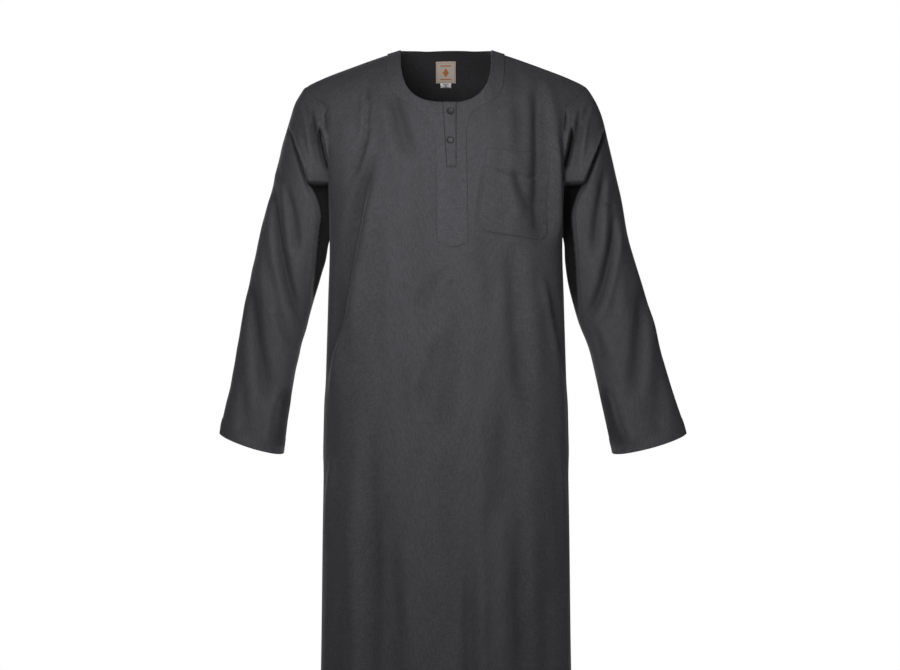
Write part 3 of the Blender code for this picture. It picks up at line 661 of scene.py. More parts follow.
def facing_out(faces, points, normals):
    """The faces, turned over if the first faces against its normal."""
    first = faces[0]
    facing = np.cross(points[first[1]] - points[first[0]], points[first[2]] - points[first[0]])
    return faces[:, ::-1] if facing @ normals[first[0]] < 0 else faces


def cloth(name, points, normals, faces, weave, shade=None, top=0.0, thickness=WALL):
    """A closed wall: its outer skin 'top' outside the points, its inner skin a thickness below.
    weave holds each point's place in the cloth, in metres, for the materials."""
    count = len(points)
    outer = points + normals * np.reshape(top, (-1, 1))
    inner = outer - normals * np.reshape(thickness, (-1, 1))
    rims = rim_edges(faces)
    walls = np.stack([rims[:, 1], rims[:, 0], rims[:, 0] + count, rims[:, 1] + count], axis=1)
    every = np.concatenate([faces, faces[:, ::-1] + count, walls])
    mesh = bpy.data.meshes.new(name)
    mesh.from_pydata(np.concatenate([outer, inner]).tolist(), [], every.tolist())
    layer = mesh.uv_layers.new(name="weave")
    corners = np.empty(len(mesh.loops), np.int32)
    mesh.loops.foreach_get("vertex_index", corners)
    # the inner skin's weave is moved by INSIDE, so it takes the wrong side's painted shade
    sides = np.concatenate([weave, weave + (INSIDE, 0)])
    layer.data.foreach_set("uv", sides[corners].astype(np.float32).reshape(-1))
    # painted shade per point, which the suiting takes off its colour
    if shade is not None:
        attribute = mesh.attributes.new("shade", "FLOAT", "POINT")
        attribute.data.foreach_set("value", np.tile(shade, 2).astype(np.float32))
    mesh.shade_smooth()
    mesh.set_sharp_from_angle(angle=math.radians(60))
    return new_object(name, mesh)


def lengths_along(grid, axis):
    """Length of cloth to each point of a grid along an axis, from the middle or from the start."""
    steps = np.linalg.norm(np.diff(grid, axis=axis), axis=-1)
    first = np.zeros(steps.shape[:axis] + (1,) + steps.shape[axis + 1 :])
    return np.concatenate([first, np.cumsum(steps, axis=axis)], axis=axis)


def body_weave(grid):
    across = lengths_along(grid, 1)
    across -= across[:, grid.shape[1] // 2][:, None]
    return np.stack([across, -lengths_along(grid, 0)], axis=-1).reshape(-1, 2)


def sleeve_weave(rings, girth=0.42):
    rows, columns = rings.shape[:2]
    across = np.broadcast_to(np.linspace(-0.5, 0.5, columns) * girth, (rows, columns))
    return np.stack([across, -lengths_along(rings, 0)], axis=-1).reshape(-1, 2)


def edge_dip(distance):
    """How far the cloth lies in beside a seam."""
    return -SEAM_DIP * np.exp(-((distance / SEAM_REACH) ** 2))


def trough(depth):
    """How far a point lies in a trough, 0 to 1."""
    return np.clip(-depth / DEEP, 0, 1)


def crease_panels(grids, faces, turns):
    """Moves the panels' points by the creases, seams and hems. Returns the painted shade of each point: how
    deep in shade it lies.
    """
    normals = shared_normals(grids, faces)
    shade = {}
    middle = grids["front"].shape[1] // 2
    for name, side in (("front", -1), ("back", +1)):
        grid = grids[name]
        depth = body_creases(grid[..., 0], grid[..., 2], side)
        # painted shade at the bottom of the creases
        shade[name] = FOLD_SHADE * trough(depth)
        across = lengths_along(grid, 1)
        depth += edge_dip(across) + edge_dip(across[:, -1:] - across)
        down = lengths_along(grid, 0)
        shoulder = np.abs(np.arange(grid.shape[1]) - middle) >= NECK_COLUMNS
        depth += edge_dip(down) * shoulder
        depth += HEM_STEP * ease((down - down[-1:] + HEM + 0.002) / 0.004)
        grids[name] = grid + normals[name].reshape(grid.shape) * depth[..., None]
    for name, sign, fronts in (("sleeve_right", -1, RIGHT_SLEEVE_FRONT),
                               ("sleeve_left", +1, LEFT_SLEEVE_FRONT)):
        rings, (sine, at) = grids[name], turns[name]
        x, z = sign * rings[..., 0], rings[..., 2]
        ahead, behind = ease(sine / 0.22)[None, :], ease(-sine / 0.22)[None, :]
        ends = ease(at / 0.02)[:, None] * ease((1 - at) / 0.03)[:, None]
        depth = ahead * crease_depths(fronts, x, z) + behind * crease_depths(SLEEVE_BACK, x, z)
        level = normals[name].reshape(rings.shape)
        out = unit((1 - ACROSS) * level + np.where(sine > 0, -ACROSS, ACROSS)[None, :, None] * (0.0, 1.0, 0.0))
        small = rumple(x, z, 20 + sign) * ends
        down = lengths_along(rings, 0)
        small += edge_dip(down) + HEM_STEP * ease((down - down[-1:] + HEM + 0.002) / 0.004)
        tucks = crease_depths(SLEEVE_TUCKS, x, z) * ease(at / 0.006)[:, None] * ahead
        hollow = underarm_hollow(rings, sine, at, sign)
        rings = rings + out * (depth * ends)[..., None] + level * small[..., None]
        rings[..., 1] -= tucks
        rings[..., 1] += hollow * np.maximum(HOLLOW_BACK - rings[..., 1], 0)
        # painted shade: the hollow and the tucks are darkened in colour almost to black, on top of their real
        # depth
        hollow_and_tuck_painted_shade = np.clip(hollow + np.clip(-tucks / DEEP_TUCK, 0, 1), 0, 1)
        shade[name] = hollow_and_tuck_painted_shade + SLEEVE_SHADE * trough(depth * ends)
        grids[name] = rings
    return {name: np.clip(shade[name], 0, 1).reshape(-1) for name in grids}


def underarm_hollow(rings, sine, at, sign):
    """Where the front of a sleeve sinks beside the body, below the fold's edge: 1 inside, 0 outside."""
    x, z = sign * rings[..., 0], rings[..., 2]
    edge = read_down(HOLLOW_EDGE, "out", z)
    inside = ease((edge - x) / HOLLOW_SIDE_RUN)
    inside = inside * ease((HOLLOW_TOP - z) / HOLLOW_TOP_RUN)
    inside = inside * ease((z - HOLLOW_FOOT) / HOLLOW_FOOT_RUN)
    return inside * ease(at / 0.02)[:, None] * ease(sine / 0.10)[None, :]


def side_step(grid, side):
    """Opens the side seams at the pockets: the front's edge stands out and the back's edge lies in."""
    heights = grid[:, 0, 2]
    middle = (SIDE_POCKET_TOP + SIDE_POCKET_FOOT) / 2
    half = (SIDE_POCKET_TOP - SIDE_POCKET_FOOT) / 2 + 0.01
    bump = SIDE_POCKET_STEP * ease(1.6 * (1 - np.abs(heights - middle) / half)) * -side
    reach = np.exp(-((np.arange(8) / 3.0) ** 2))
    for j, share in enumerate(reach):
        grid[:, j, 0] -= bump * share
        grid[:, -1 - j, 0] += bump * share


def cut_slit(columns, points, normals, faces, weave, shade):
    """(points, normals, faces, weave, shade) of the front, cut down its middle to the foot of the slit."""
    middle = columns // 2
    points = points.copy()
    slit_rows = int((points[middle::columns, 2] > SLIT_FOOT).sum())
    old = np.arange(slit_rows) * columns + middle
    twin = np.arange(len(points))
    twin[old] = len(points) + np.arange(slit_rows)
    left_half = (faces % columns).min(axis=1) >= middle
    cut = np.where(left_half[:, None], twin[faces], faces)
    extra = points[old] + (SLIT_HALF, 0, 0)
    points[old] -= (SLIT_HALF, 0, 0)
    return (np.concatenate([points, extra]), np.concatenate([normals, normals[old]]), cut,
            np.concatenate([weave, weave[old]]), np.concatenate([shade, shade[old]]))


def make_panels():
    """The front, the back and the two sleeves, which share their seams' points."""
    front, back = body_panel(-1), body_panel(+1)
    grids, turns = {"front": front, "back": back}, {}
    for name, table, sign in (("sleeve_right", SLEEVE_RIGHT, -1), ("sleeve_left", SLEEVE_LEFT, +1)):
        grids[name], *turns[name] = sleeve_grid(table, sign, front, back)
    rows, columns = front.shape[:2]
    body_faces = quads(rows, columns)
    tube_faces = quads(SLEEVE_RINGS + 1, 2 * ARM_ROWS, wrap=True)
    faces = {
        "front": body_faces[:, ::-1],
        "back": body_faces,
        "sleeve_left": tube_faces,
        "sleeve_right": tube_faces[:, ::-1],
    }
    weaves = {name: body_weave(grids[name]) for name in ("front", "back")}
    weaves.update({name: sleeve_weave(grids[name]) for name in turns})
    shade = crease_panels(grids, faces, turns)
    normals = shared_normals(grids, faces)
    made = {}
    for name, side in (("front", -1), ("back", +1)):
        side_step(grids[name], side)
        points = grids[name].reshape(-1, 3)
        index = np.arange(len(points)).reshape(rows, columns)
        pull_in(points, index[:, 0], index[:, 1])
        pull_in(points, index[:, -1], index[:, -2])
        for shoulder in (slice(None, SHOULDER_COLUMNS + 1), slice(columns - 1 - SHOULDER_COLUMNS, None)):
            pull_in(points, index[0, shoulder], index[1, shoulder])
        panel = (points, normals[name], faces[name], weaves[name], shade[name])
        if side < 0:
            panel = cut_slit(columns, *panel)
        made[name] = cloth(name + "_panel", *panel)
    for name in turns:
        points = grids[name].reshape(-1, 3)
        index = np.arange(len(points)).reshape(SLEEVE_RINGS + 1, 2 * ARM_ROWS)
        pull_in(points, index[0], index[1], closed=True)
        made[name] = cloth(name + "_cloth", points, normals[name], faces[name], weaves[name], shade[name])
    return made, grids, normals


def seam_allowance(name, lines, levels):
    """A strip of cloth pressed open behind a seam, through lines of points across it."""
    points, level = np.stack(lines, axis=1), unit(np.stack(levels, axis=1))
    across = lengths_along(points, 1)
    # the allowance lies on the wrong side and takes its painted shade
    weave = np.stack([across + INSIDE, -lengths_along(points, 0)], axis=-1).reshape(-1, 2)
    flat, level = points.reshape(-1, 3), level.reshape(-1, 3)
    faces = facing_out(quads(*points.shape[:2]), flat, level)
    return cloth(name, flat, level, faces, weave, top=-(WALL + ALLOWANCE_GAP), thickness=ALLOWANCE_WALL)


def make_allowances(grids, normals):
    """The allowances of the side seams and the shoulder seams."""
    names = ("front", "back")
    pairs = ([grids[name] for name in names],
             [normals[name].reshape(grids[name].shape) for name in names])
    strips = []
    for side, edge, step in (("right", 0, 1), ("left", -1, -1)):
        skirt = slice(ARM_ROWS, None)
        reach = [edge + step * k for k in (2, 1, 0)]
        strips.append(seam_allowance(f"side_allowance_{side}", *(
            [ahead[skirt, c] for c in reach] + [behind[skirt, c] for c in reach[-2::-1]]
            for ahead, behind in pairs)))
    count = grids["front"].shape[1]
    for side, span in (("right", slice(2, SHOULDER_COLUMNS - 1)),
                       ("left", slice(count + 1 - SHOULDER_COLUMNS, count - 2))):
        strips.append(seam_allowance(f"shoulder_allowance_{side}", *(
            [ahead[k, span] for k in (3, 1, 0)] + [behind[k, span] for k in (1, 3)]
            for ahead, behind in pairs)))
    return strips


def flat_piece(name, x, drop, side, bottom, thickness, faces=None):
    """A piece with soft edges that lies on a body panel, over the points (x, drop)."""
    points, normals = body_point(x, drop, side)
    if faces is None:
        faces = quads(*np.shape(x))
    x, drop = np.ravel(x), np.ravel(drop)
    points, normals = points.reshape(-1, 3), normals.reshape(-1, 3)
    weave = np.stack([x, -drop], axis=1)
    faces = facing_out(faces, points, normals)
    wall = np.full(len(points), thickness)
    wall[np.unique(rim_edges(faces))] = thickness * RIM_SHARE
    height = body_surface(x, drop, side)[:, 2]
    # painted shade at the bottom of the creases under the piece
    shade = FOLD_SHADE * trough(body_creases(x, height, side))
    return cloth(name, points, normals, faces, weave, shade, top=bottom + wall, thickness=wall)


def soft_ends(count, near=0.02):
    """Shares 0 to 1 with one extra step close to each end, where an edge rounds over."""
    return np.concatenate([[0], np.linspace(near, 1 - near, count - 2), [1]])


def outline_curve(table, count):
    """Points (x, drop) spaced evenly along a smooth curve through a table's rows."""
    knots = np.linspace(0, 1, len(table))
    fine = np.linspace(0, 1, 60 * len(table))
    drops = [drop_of(p.out, p.height) for p in table]
    drops[0] = BAND_END
    x = smooth_curve(knots, [p.out for p in table], fine)
    return arc_samples(np.stack([x, smooth_curve(knots, drops, fine)], axis=1), count)


def half_neck(sign, first_drop, gap=0.0):
    """The front neck edge of one half as (x, drop), from the shoulder seam to where the slit begins."""
    slit_top = FLY_LEFT_TOP if sign < 0 else FLY_RIGHT
    neck = neck_outline(-1)[::-1] * (sign, 1)
    return neck[(sign * neck[:, 0] > sign * slit_top + gap) & (neck[:, 1] >= first_drop)]


def placket_foot(share):
    """(x, drop) of the placket's pointed lower edge."""
    x = BAND_RIGHT[-1].out + share * (BAND_LEFT[-1].out - BAND_RIGHT[-1].out)
    z = PLACKET_FOOT + (PLACKET_TIP - PLACKET_FOOT) * (1 - np.abs(2 * share - 1))
    return on_cloth(x, z)


def make_neck_placket(stations=110, slit_stations=26, lanes=12, placket_rows=34):
    """Band round the front of the neck, running down both sides of the slit into a pointed placket."""
    slit_drop = drop_of(0.0, SLIT_FOOT)
    lane = soft_ends(lanes, 0.03)[None, :, None]
    grids, faces = [], []

    def add(grid):
        start = sum(len(points) for points in grids)
        grids.append(grid.reshape(-1, 2))
        return start + np.arange(grid.size // 2).reshape(grid.shape[:-1])

    def join(upper, lower):
        faces.append(np.stack([upper[:-1], upper[1:], lower[1:], lower[:-1]], axis=1))

    feet = []
    for sign, table in ((-1, BAND_RIGHT), (+1, BAND_LEFT)):
        slit_foot = FLY_LEFT_FOOT if sign < 0 else FLY_RIGHT
        neck = arc_samples(half_neck(sign, BAND_END, SEAM_GAP), stations - slit_stations)
        slit = np.linspace(neck[-1], (slit_foot + sign * SEAM_GAP, slit_drop), slit_stations + 1)
        inner = np.concatenate([neck, slit[1:]])
        outer = outline_curve(table[:-1], stations)
        index = add(inner[:, None] + (outer - inner)[:, None] * lane)
        if sign < 0:
            index = index[:, ::-1]
        feet.append(index[-1])
        for upper, lower in zip(index, index[1:]):
            join(upper, lower)
    previous = np.concatenate(feet)
    top = np.concatenate(grids)[previous]
    share = (top[:, 0] - top[0, 0]) / (top[-1, 0] - top[0, 0])
    foot = placket_foot(share)
    for step in soft_ends(placket_rows, 0.012)[1:]:
        index = add(top + (foot - top) * step)
        join(previous, index)
        previous = index
    x, drop = np.concatenate(grids).T
    return flat_piece("neck_placket_facing", x, drop, -1, TRIM_LIFT, TRIM_WALL, np.concatenate(faces))


def make_fly(rows=48, columns=10):
    """Narrow strip that fills the slit in the facing."""
    top_z = -NECK_DROP + SEAM_GAP
    share = soft_ends(rows, 0.01)
    left = FLY_LEFT_TOP + (FLY_LEFT_FOOT - FLY_LEFT_TOP) * share
    across = soft_ends(columns, 0.05)
    x = left[:, None] + (FLY_RIGHT - left)[:, None] * across
    z = np.broadcast_to((top_z + (SLIT_FOOT + SEAM_GAP - top_z) * share)[:, None], x.shape)
    return flat_piece("fly_strip", x, drop_of(x, z), -1, TRIM_LIFT, FLY_WALL)


def pocket_point(across, down):
    """(x, z) on the pocket, at shares of its width and height."""
    round_share = POCKET_ROUND / (POCKET_TOP_IN.height - POCKET_FOOT_IN.height)
    into = np.clip((down - (1 - round_share)) / round_share, 0, 1)
    inset = POCKET_ROUND * (1 - np.sqrt(1 - into**2))
    left = POCKET_TOP_IN.out + (POCKET_FOOT_IN.out - POCKET_TOP_IN.out) * down + inset
    right = POCKET_TOP_OUT.out + (POCKET_FOOT_OUT.out - POCKET_TOP_OUT.out) * down - inset * 0.7
    top = POCKET_TOP_IN.height + (POCKET_TOP_OUT.height - POCKET_TOP_IN.height) * across
    foot = POCKET_FOOT_IN.height + (POCKET_FOOT_OUT.height - POCKET_FOOT_IN.height) * across
    return left + (right - left) * across, top + (foot - top) * down


def make_pocket(rows=60, columns=48):
    """Patch pocket with rounded lower corners."""
    straight = np.linspace(0.008, 0.85, rows - 14)
    curved = 0.85 + 0.15 * np.sin(np.linspace(0, math.pi / 2, 14))[1:]
    down = np.concatenate([[0], straight, curved])
    x, z = pocket_point(soft_ends(columns, 0.010)[None, :], down[:, None])
    return flat_piece("pocket_patch", x, drop_of(x, z), -1, TRIM_LIFT, TRIM_WALL)


def make_label(name, half, top, foot, rows):
    """Small woven label against the inside of the back."""
    x, z = np.meshgrid(LABEL_X + half * soft_ends(LABEL_COLUMNS, 0.02) * 2 - half,
                       top + (foot - top) * soft_ends(rows, 0.02))
    bow = LABEL_BOW * np.sin(math.pi * np.linspace(0, 1, rows))[:, None]
    points, normals = body_point(x, drop_of(x, z), +1)
    points = points - normals * (WALL + LABEL_LIFT + bow)[..., None]
    weave = np.stack([(x - LABEL_X).ravel(), (z - (top + foot) / 2).ravel()], axis=1)
    points, normals = points.reshape(-1, 3), -normals.reshape(-1, 3)
    faces = facing_out(quads(*x.shape), points, normals)
    return cloth(name, points, normals, faces, weave, top=LABEL_WALL, thickness=LABEL_WALL)


# ---------------------------------------------------------------- stitches

def stitch_run(points, normals, pitch=0.0034, share=0.72, radius=0.00024):
    """(vertices, faces) of a row of stitches along a line: short rods whose ends sink into the cloth."""
    lengths = np.concatenate([[0], np.cumsum(np.linalg.norm(np.diff(points, axis=0), axis=1))])
    count = max(2, int(lengths[-1] / pitch))
    starts = (np.arange(count) + (1 - share) / 2) * lengths[-1] / count
    rings, sides = 5, 6
    along = np.linspace(0, 1, rings)
    at = starts[:, None] + along * share * lengths[-1] / count

    def read(values, at):
        return np.stack([np.interp(at, lengths, values[:, k]) for k in range(3)], axis=-1)

    centre, up = read(points, at), unit(read(normals, at))
    ahead = unit(read(points, at + 1e-3) - read(points, at - 1e-3))
    beside = unit(np.cross(ahead, up))
    bulge = np.sqrt(np.clip(1 - (2 * along - 1) ** 2, 0.04, None))
    centre = centre + up * ((bulge - 0.75) * radius * 2.2)[None, :, None]
    angle = np.linspace(0, 2 * math.pi, sides, endpoint=False)
    spoke = (beside[:, :, None] * np.cos(angle)[:, None] + up[:, :, None] * np.sin(angle)[:, None])
    ring = centre[:, :, None] + spoke * (radius * (0.45 + 0.55 * bulge))[None, :, None, None]
    one = quads(rings, sides, wrap=True)
    faces = (one[None] + (np.arange(count) * rings * sides)[:, None, None]).reshape(-1, 4)
    return ring.reshape(-1, 3), faces


def join_stitches(name, runs, material):
    """One object from several rows of stitches."""
    points, faces = zip(*runs)
    starts = np.cumsum([0] + [len(run) for run in points])
    faces = [run + start for run, start in zip(faces, starts)]
    mesh = bpy.data.meshes.new(name)
    mesh.from_pydata(np.concatenate(points).tolist(), [], np.concatenate(faces).tolist())
    mesh.materials.append(material)
    mesh.shade_smooth()
    piece = new_object(name, mesh)
    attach(piece, "root")
    return piece


def line_on_body(line, height, count=240, side=-1):
    """(points, normals) along a line of (x, drop) on the body, raised by a height."""
    line = arc_samples(np.asarray(line), count, side)
    points, normals = body_point(line[:, 0], line[:, 1], side)
    return points + normals * height, normals


def inset_line(line, distance):
    """A line of (x, drop) moved square to itself, to its left as seen from in front."""
    along = unit(np.gradient(line, axis=0))
    return line + np.stack([along[:, 1], -along[:, 0]], axis=1) * distance


def facing_stitches(material):
    """Topstitching just inside the edges of the band, the placket and the fly's foot."""
    height = TRIM_LIFT + TRIM_WALL
    runs = []
    for sign, table in ((-1, BAND_RIGHT), (+1, BAND_LEFT)):
        outer = outline_curve(table, 260)
        runs.append(stitch_run(*line_on_body(inset_line(outer, -sign * EDGE_STITCH), height)))
        neck = half_neck(sign, BAND_END + EDGE_STITCH)
        runs.append(stitch_run(*line_on_body(inset_line(neck, sign * EDGE_STITCH), height)))
    share = np.linspace(0.05, 0.95, 60)
    foot = placket_foot(share) - (0, EDGE_STITCH)
    runs.append(stitch_run(*line_on_body(foot, height)))
    slit_drop = drop_of(0.0, SLIT_FOOT)
    for below in FLY_BOX_DROPS:
        line = np.stack([np.linspace(*FLY_BOX_SPAN, 30), np.full(30, slit_drop + below)], axis=1)
        runs.append(stitch_run(*line_on_body(line, height, 60)))
    right = np.stack([np.full(60, FLY_RIGHT - 0.0018),
                      np.linspace(drop_of(FLY_RIGHT, -0.092), slit_drop - 0.002, 60)], axis=1)
    runs.append(stitch_run(*line_on_body(right, TRIM_LIFT + FLY_WALL, 120)))
    return join_stitches("facing_stitches", runs, material)


def pocket_stitches(material):
    """Edge stitching round the pocket and the hem line under its mouth."""
    height = TRIM_LIFT + TRIM_WALL
    width = POCKET_TOP_OUT.out - POCKET_TOP_IN.out
    tall = POCKET_TOP_IN.height - POCKET_FOOT_IN.height
    edge = EDGE_STITCH * 0.7
    side, foot = edge / width, 1 - edge / tall
    down = np.concatenate([np.linspace(0.004, 0.85, 40), np.linspace(0.85, foot, 24)])
    runs = []
    left = np.stack(pocket_point(np.full(64, side), down), axis=1)
    right = np.stack(pocket_point(np.full(64, 1 - side), down), axis=1)
    across = np.linspace(side, 1 - side, 40)
    base = np.stack(pocket_point(across, np.full(40, foot)), axis=1)
    around = np.concatenate([left, base[1:-1], right[::-1]])
    hem = np.stack(pocket_point(np.linspace(0.004, 0.996, 60), np.linspace(*POCKET_HEM, 60)), axis=1)
    for x, z in (around.T, hem.T):
        runs.append(stitch_run(*line_on_body(on_cloth(x, z), height)))
    # a short bar at each end of the mouth takes the strain
    for share, inward in ((side, 1), (1 - side, -1)):
        x, z = pocket_point(share + np.linspace(-0.006, 0.030, 12) * inward, np.full(12, 0.028))
        line = line_on_body(on_cloth(x, z), height, 30)
        runs.append(stitch_run(*line, pitch=0.0012, share=0.95))
    return join_stitches("pocket_stitches", runs, material)


def grid_stitches(name, lines, material):
    """Topstitching along lines of (points, normals) read from the panels."""
    runs = [stitch_run(points + normals * 0.00005, normals) for points, normals in lines]
    return join_stitches(name, runs, material)


def hem_lines(grids, normals):
    """Lines of stitches round the cuffs and the hem, at the top of the turned hem."""
    lines = []
    for name in ("front", "back", "sleeve_right", "sleeve_left"):
        grid = grids[name]
        level = normals[name].reshape(grid.shape)
        down = lengths_along(grid, 0)
        above = down[-1:] - HEM
        row = (down < above).sum(axis=0).clip(1, len(grid) - 1)
        column = np.arange(grid.shape[1])
        low, high = down[row - 1, column], down[row, column]
        mix = ((above[0] - low) / np.maximum(high - low, 1e-9))[:, None]
        points = grid[row - 1, column] * (1 - mix) + grid[row, column] * mix
        face = unit(level[row - 1, column] * (1 - mix) + level[row, column] * mix)
        if name.startswith("sleeve"):
            points, face = (np.concatenate([v, v[:1]]) for v in (points, face))
        lines.append((points, face))
    return lines


def seam_lines(grids, normals):
    """Lines of stitches just behind the shoulder seams."""
    grid = grids["back"]
    level = normals["back"].reshape(grid.shape)
    middle = grid.shape[1] // 2
    spans = slice(2, middle - NECK_COLUMNS - 1), slice(middle + NECK_COLUMNS + 2, grid.shape[1] - 2)
    return [(grid[1, span], level[1, span]) for span in spans]


# ---------------------------------------------------------------- materials

def new_material(name):
    """(material, node adder, link function, maths function, principled shader) of a new material."""
    material = bpy.data.materials.new(name)
    material.use_nodes = True
    tree = material.node_tree
    link = tree.links.new

    def add(kind, **settings):
        node = tree.nodes.new(kind)
        for key, value in settings.items():
            if key in node.inputs:
                node.inputs[key].default_value = value
            else:
                setattr(node, key, value)
        return node

    def maths(operation, first, second=0.0):
        node = add("ShaderNodeMath", operation=operation)
        for socket, value in zip(node.inputs, (first, second)):
            if isinstance(value, (int, float)):
                socket.default_value = value
            else:
                link(value, socket)
        return node.outputs["Value"]

    return material, add, link, maths, tree.nodes["Principled BSDF"]


def colour_sockets(sockets):
    """The sockets of a Mix node that carry colours, by name."""
    return {socket.name: socket for socket in sockets if socket.type == "RGBA"}


def weave_suiting(name, lift=1.0):
    """Melange suiting: fibres of two greys in streaks along the warp, over a fine plain weave."""
    material, add, link, maths, shader = new_material(name)
    place = add("ShaderNodeUVMap", uv_map="weave")

    def noise(across, along, detail=2.0, roughness=0.5):
        scaled = add("ShaderNodeMapping")
        scaled.inputs["Scale"].default_value = (across, along, 1.0)
        texture = add("ShaderNodeTexNoise", Scale=1.0, Detail=detail, Roughness=roughness)
        link(place.outputs["UV"], scaled.inputs["Vector"])
        link(scaled.outputs["Vector"], texture.inputs["Vector"])
        return texture.outputs["Fac"]

    def spread(value, low, high):
        ends = {"From Min": 0.25, "From Max": 0.75, "To Min": low, "To Max": high}
        node = add("ShaderNodeMapRange", **ends)
        link(value, node.inputs["Value"])
        return node.outputs["Result"]

    fibre = spread(noise(1200, 420, 3.0, 0.65), 0.62, 1.38)
    warp_slubs = spread(noise(320, 85, 2.0, 0.6), 0.84, 1.16)
    weft_slubs = spread(noise(85, 320, 2.0, 0.6), 0.86, 1.14)
    streak = maths("MULTIPLY", warp_slubs, weft_slubs)
    cloud = spread(noise(38, 15, 3.0, 0.6), 0.93, 1.07)
    tone = maths("MULTIPLY", maths("MULTIPLY", fibre, streak), cloud)

    split = add("ShaderNodeSeparateXYZ")
    link(place.outputs["UV"], split.inputs["Vector"])
    warp = maths("SINE", maths("MULTIPLY", split.outputs["X"], 2 * math.pi / WARP_PITCH))
    weft = maths("SINE", maths("MULTIPLY", split.outputs["Y"], 2 * math.pi / WEFT_PITCH))
    threads = maths("MULTIPLY", warp, weft)
    tone = maths("MULTIPLY", tone, maths("ADD", 1.0, maths("MULTIPLY", threads, 0.16)))
    # painted shade: the colour is darkened at the bottom of creases, in the underarm hollow and over the whole
    # wrong side
    painted_shade_node = add("ShaderNodeAttribute", attribute_name="shade")
    tone = maths("MULTIPLY", tone, maths("SUBTRACT", 1.0, maths("MULTIPLY", painted_shade_node.outputs["Fac"], FULL_PAINTED_SHADE)))
    inside_painted_shade_mask = maths("GREATER_THAN", split.outputs["X"], INSIDE / 2)
    tone = maths("MULTIPLY", tone, maths("SUBTRACT", 1.0, maths("MULTIPLY", inside_painted_shade_mask, INSIDE_PAINTED_SHADE)))

    colour = add("ShaderNodeMix", data_type="RGBA", blend_type="MULTIPLY")
    colour.inputs["Factor"].default_value = 1.0
    mixed = colour_sockets(colour.inputs)
    mixed["A"].default_value = (*[channel * lift for channel in CHARCOAL], 1.0)
    grey = add("ShaderNodeCombineColor")
    for channel in ("Red", "Green", "Blue"):
        link(tone, grey.inputs[channel])
    link(grey.outputs["Color"], mixed["B"])
    link(colour_sockets(colour.outputs)["Result"], shader.inputs["Base Color"])

    rough = spread(noise(300, 120), 0.78, 0.92)
    link(rough, shader.inputs["Roughness"])
    bump = add("ShaderNodeBump", Strength=0.22, Distance=0.0002)
    fuzz = maths("MULTIPLY", noise(900, 360, 3.0, 0.6), 1.1)
    relief = maths("ADD", maths("MULTIPLY", threads, 0.5), fuzz)
    link(relief, bump.inputs["Height"])
    link(bump.outputs["Normal"], shader.inputs["Normal"])
    shader.inputs["Specular IOR Level"].default_value = 0.28
    shader.inputs["Sheen Weight"].default_value = 0.10
    shader.inputs["Sheen Roughness"].default_value = 0.45
    shader.inputs["Sheen Tint"].default_value = (0.80, 0.80, 0.86, 1.0)
    return material


def thread_material():
    """Matt charcoal sewing thread, with its twist as bump."""
    material, add, link, _, shader = new_material("thread")
    shader.inputs["Base Color"].default_value = (0.030, 0.029, 0.032, 1.0)
    shader.inputs["Roughness"].default_value = 0.70
    shader.inputs["Sheen Weight"].default_value = 0.15
    place = add("ShaderNodeTexCoord")
    twist = add("ShaderNodeTexNoise", Scale=2600.0, Detail=1.0)
    bump = add("ShaderNodeBump", Strength=0.3, Distance=0.0001)
    link(place.outputs["Object"], twist.inputs["Vector"])
    link(twist.outputs["Fac"], bump.inputs["Height"])
    link(bump.outputs["Normal"], shader.inputs["Normal"])
    return material


def button_material():
    """Black polyester with faint smoky clouds and a worn satin gloss."""
    material, add, link, _, shader = new_material("button_black")
    place = add("ShaderNodeTexCoord")
    cloud = add("ShaderNodeTexNoise", Scale=190.0, Detail=4.0, Roughness=0.6, Distortion=1.4)
    ramp = add("ShaderNodeValToRGB")
    ramp.color_ramp.elements[0].color = (0.006, 0.006, 0.007, 1.0)
    ramp.color_ramp.elements[1].color = (0.024, 0.023, 0.025, 1.0)
    wear = add("ShaderNodeMapRange", **{"To Min": 0.46, "To Max": 0.60})
    link(place.outputs["Object"], cloud.inputs["Vector"])
    link(cloud.outputs["Fac"], ramp.inputs["Fac"])
    link(cloud.outputs["Fac"], wear.inputs["Value"])
    link(ramp.outputs["Color"], shader.inputs["Base Color"])
    link(wear.outputs["Result"], shader.inputs["Roughness"])
    return material


def label_material(name, ground, mark, half_width, half_height):
    """Woven satin ribbon: a pale ground between two narrow borders, with a small lozenge on it."""
    material, add, link, maths, shader = new_material(name)
    place = add("ShaderNodeUVMap", uv_map="weave")
    split = add("ShaderNodeSeparateXYZ")
    link(place.outputs["UV"], split.inputs["Vector"])

    across = maths("ABSOLUTE", split.outputs["X"])
    up = maths("ABSOLUTE", split.outputs["Y"])
    out = maths("MAXIMUM", maths("DIVIDE", across, half_width), maths("DIVIDE", up, half_height))
    frame_line = maths("MULTIPLY", maths("GREATER_THAN", out, 0.86), maths("LESS_THAN", out, 0.92))
    lozenge = maths("LESS_THAN", maths("ADD", maths("DIVIDE", across, half_width * 0.34),
                                       maths("DIVIDE", up, half_height * 0.42)), 1.0)
    bar_off = maths("ABSOLUTE", maths("SUBTRACT", up, half_height * 0.62))
    bars = maths("MULTIPLY", maths("LESS_THAN", bar_off, 0.0010),
                 maths("LESS_THAN", across, half_width * 0.56))
    marked = maths("MAXIMUM", maths("MAXIMUM", lozenge, bars), maths("MULTIPLY", frame_line, 0.55))
    mix = add("ShaderNodeMix", data_type="RGBA")
    chosen = colour_sockets(mix.inputs)
    chosen["A"].default_value = (*ground, 1.0)
    chosen["B"].default_value = (*mark, 1.0)
    link(marked, mix.inputs["Factor"])
    link(colour_sockets(mix.outputs)["Result"], shader.inputs["Base Color"])
    threads = maths("SINE", maths("MULTIPLY", split.outputs["X"], 2 * math.pi / 0.00035))
    bump = add("ShaderNodeBump", Strength=0.25, Distance=0.0001)
    link(threads, bump.inputs["Height"])
    link(bump.outputs["Normal"], shader.inputs["Normal"])
    shader.inputs["Roughness"].default_value = 0.42
    shader.inputs["Sheen Weight"].default_value = 0.2
    return material


# ---------------------------------------------------------------- buttons

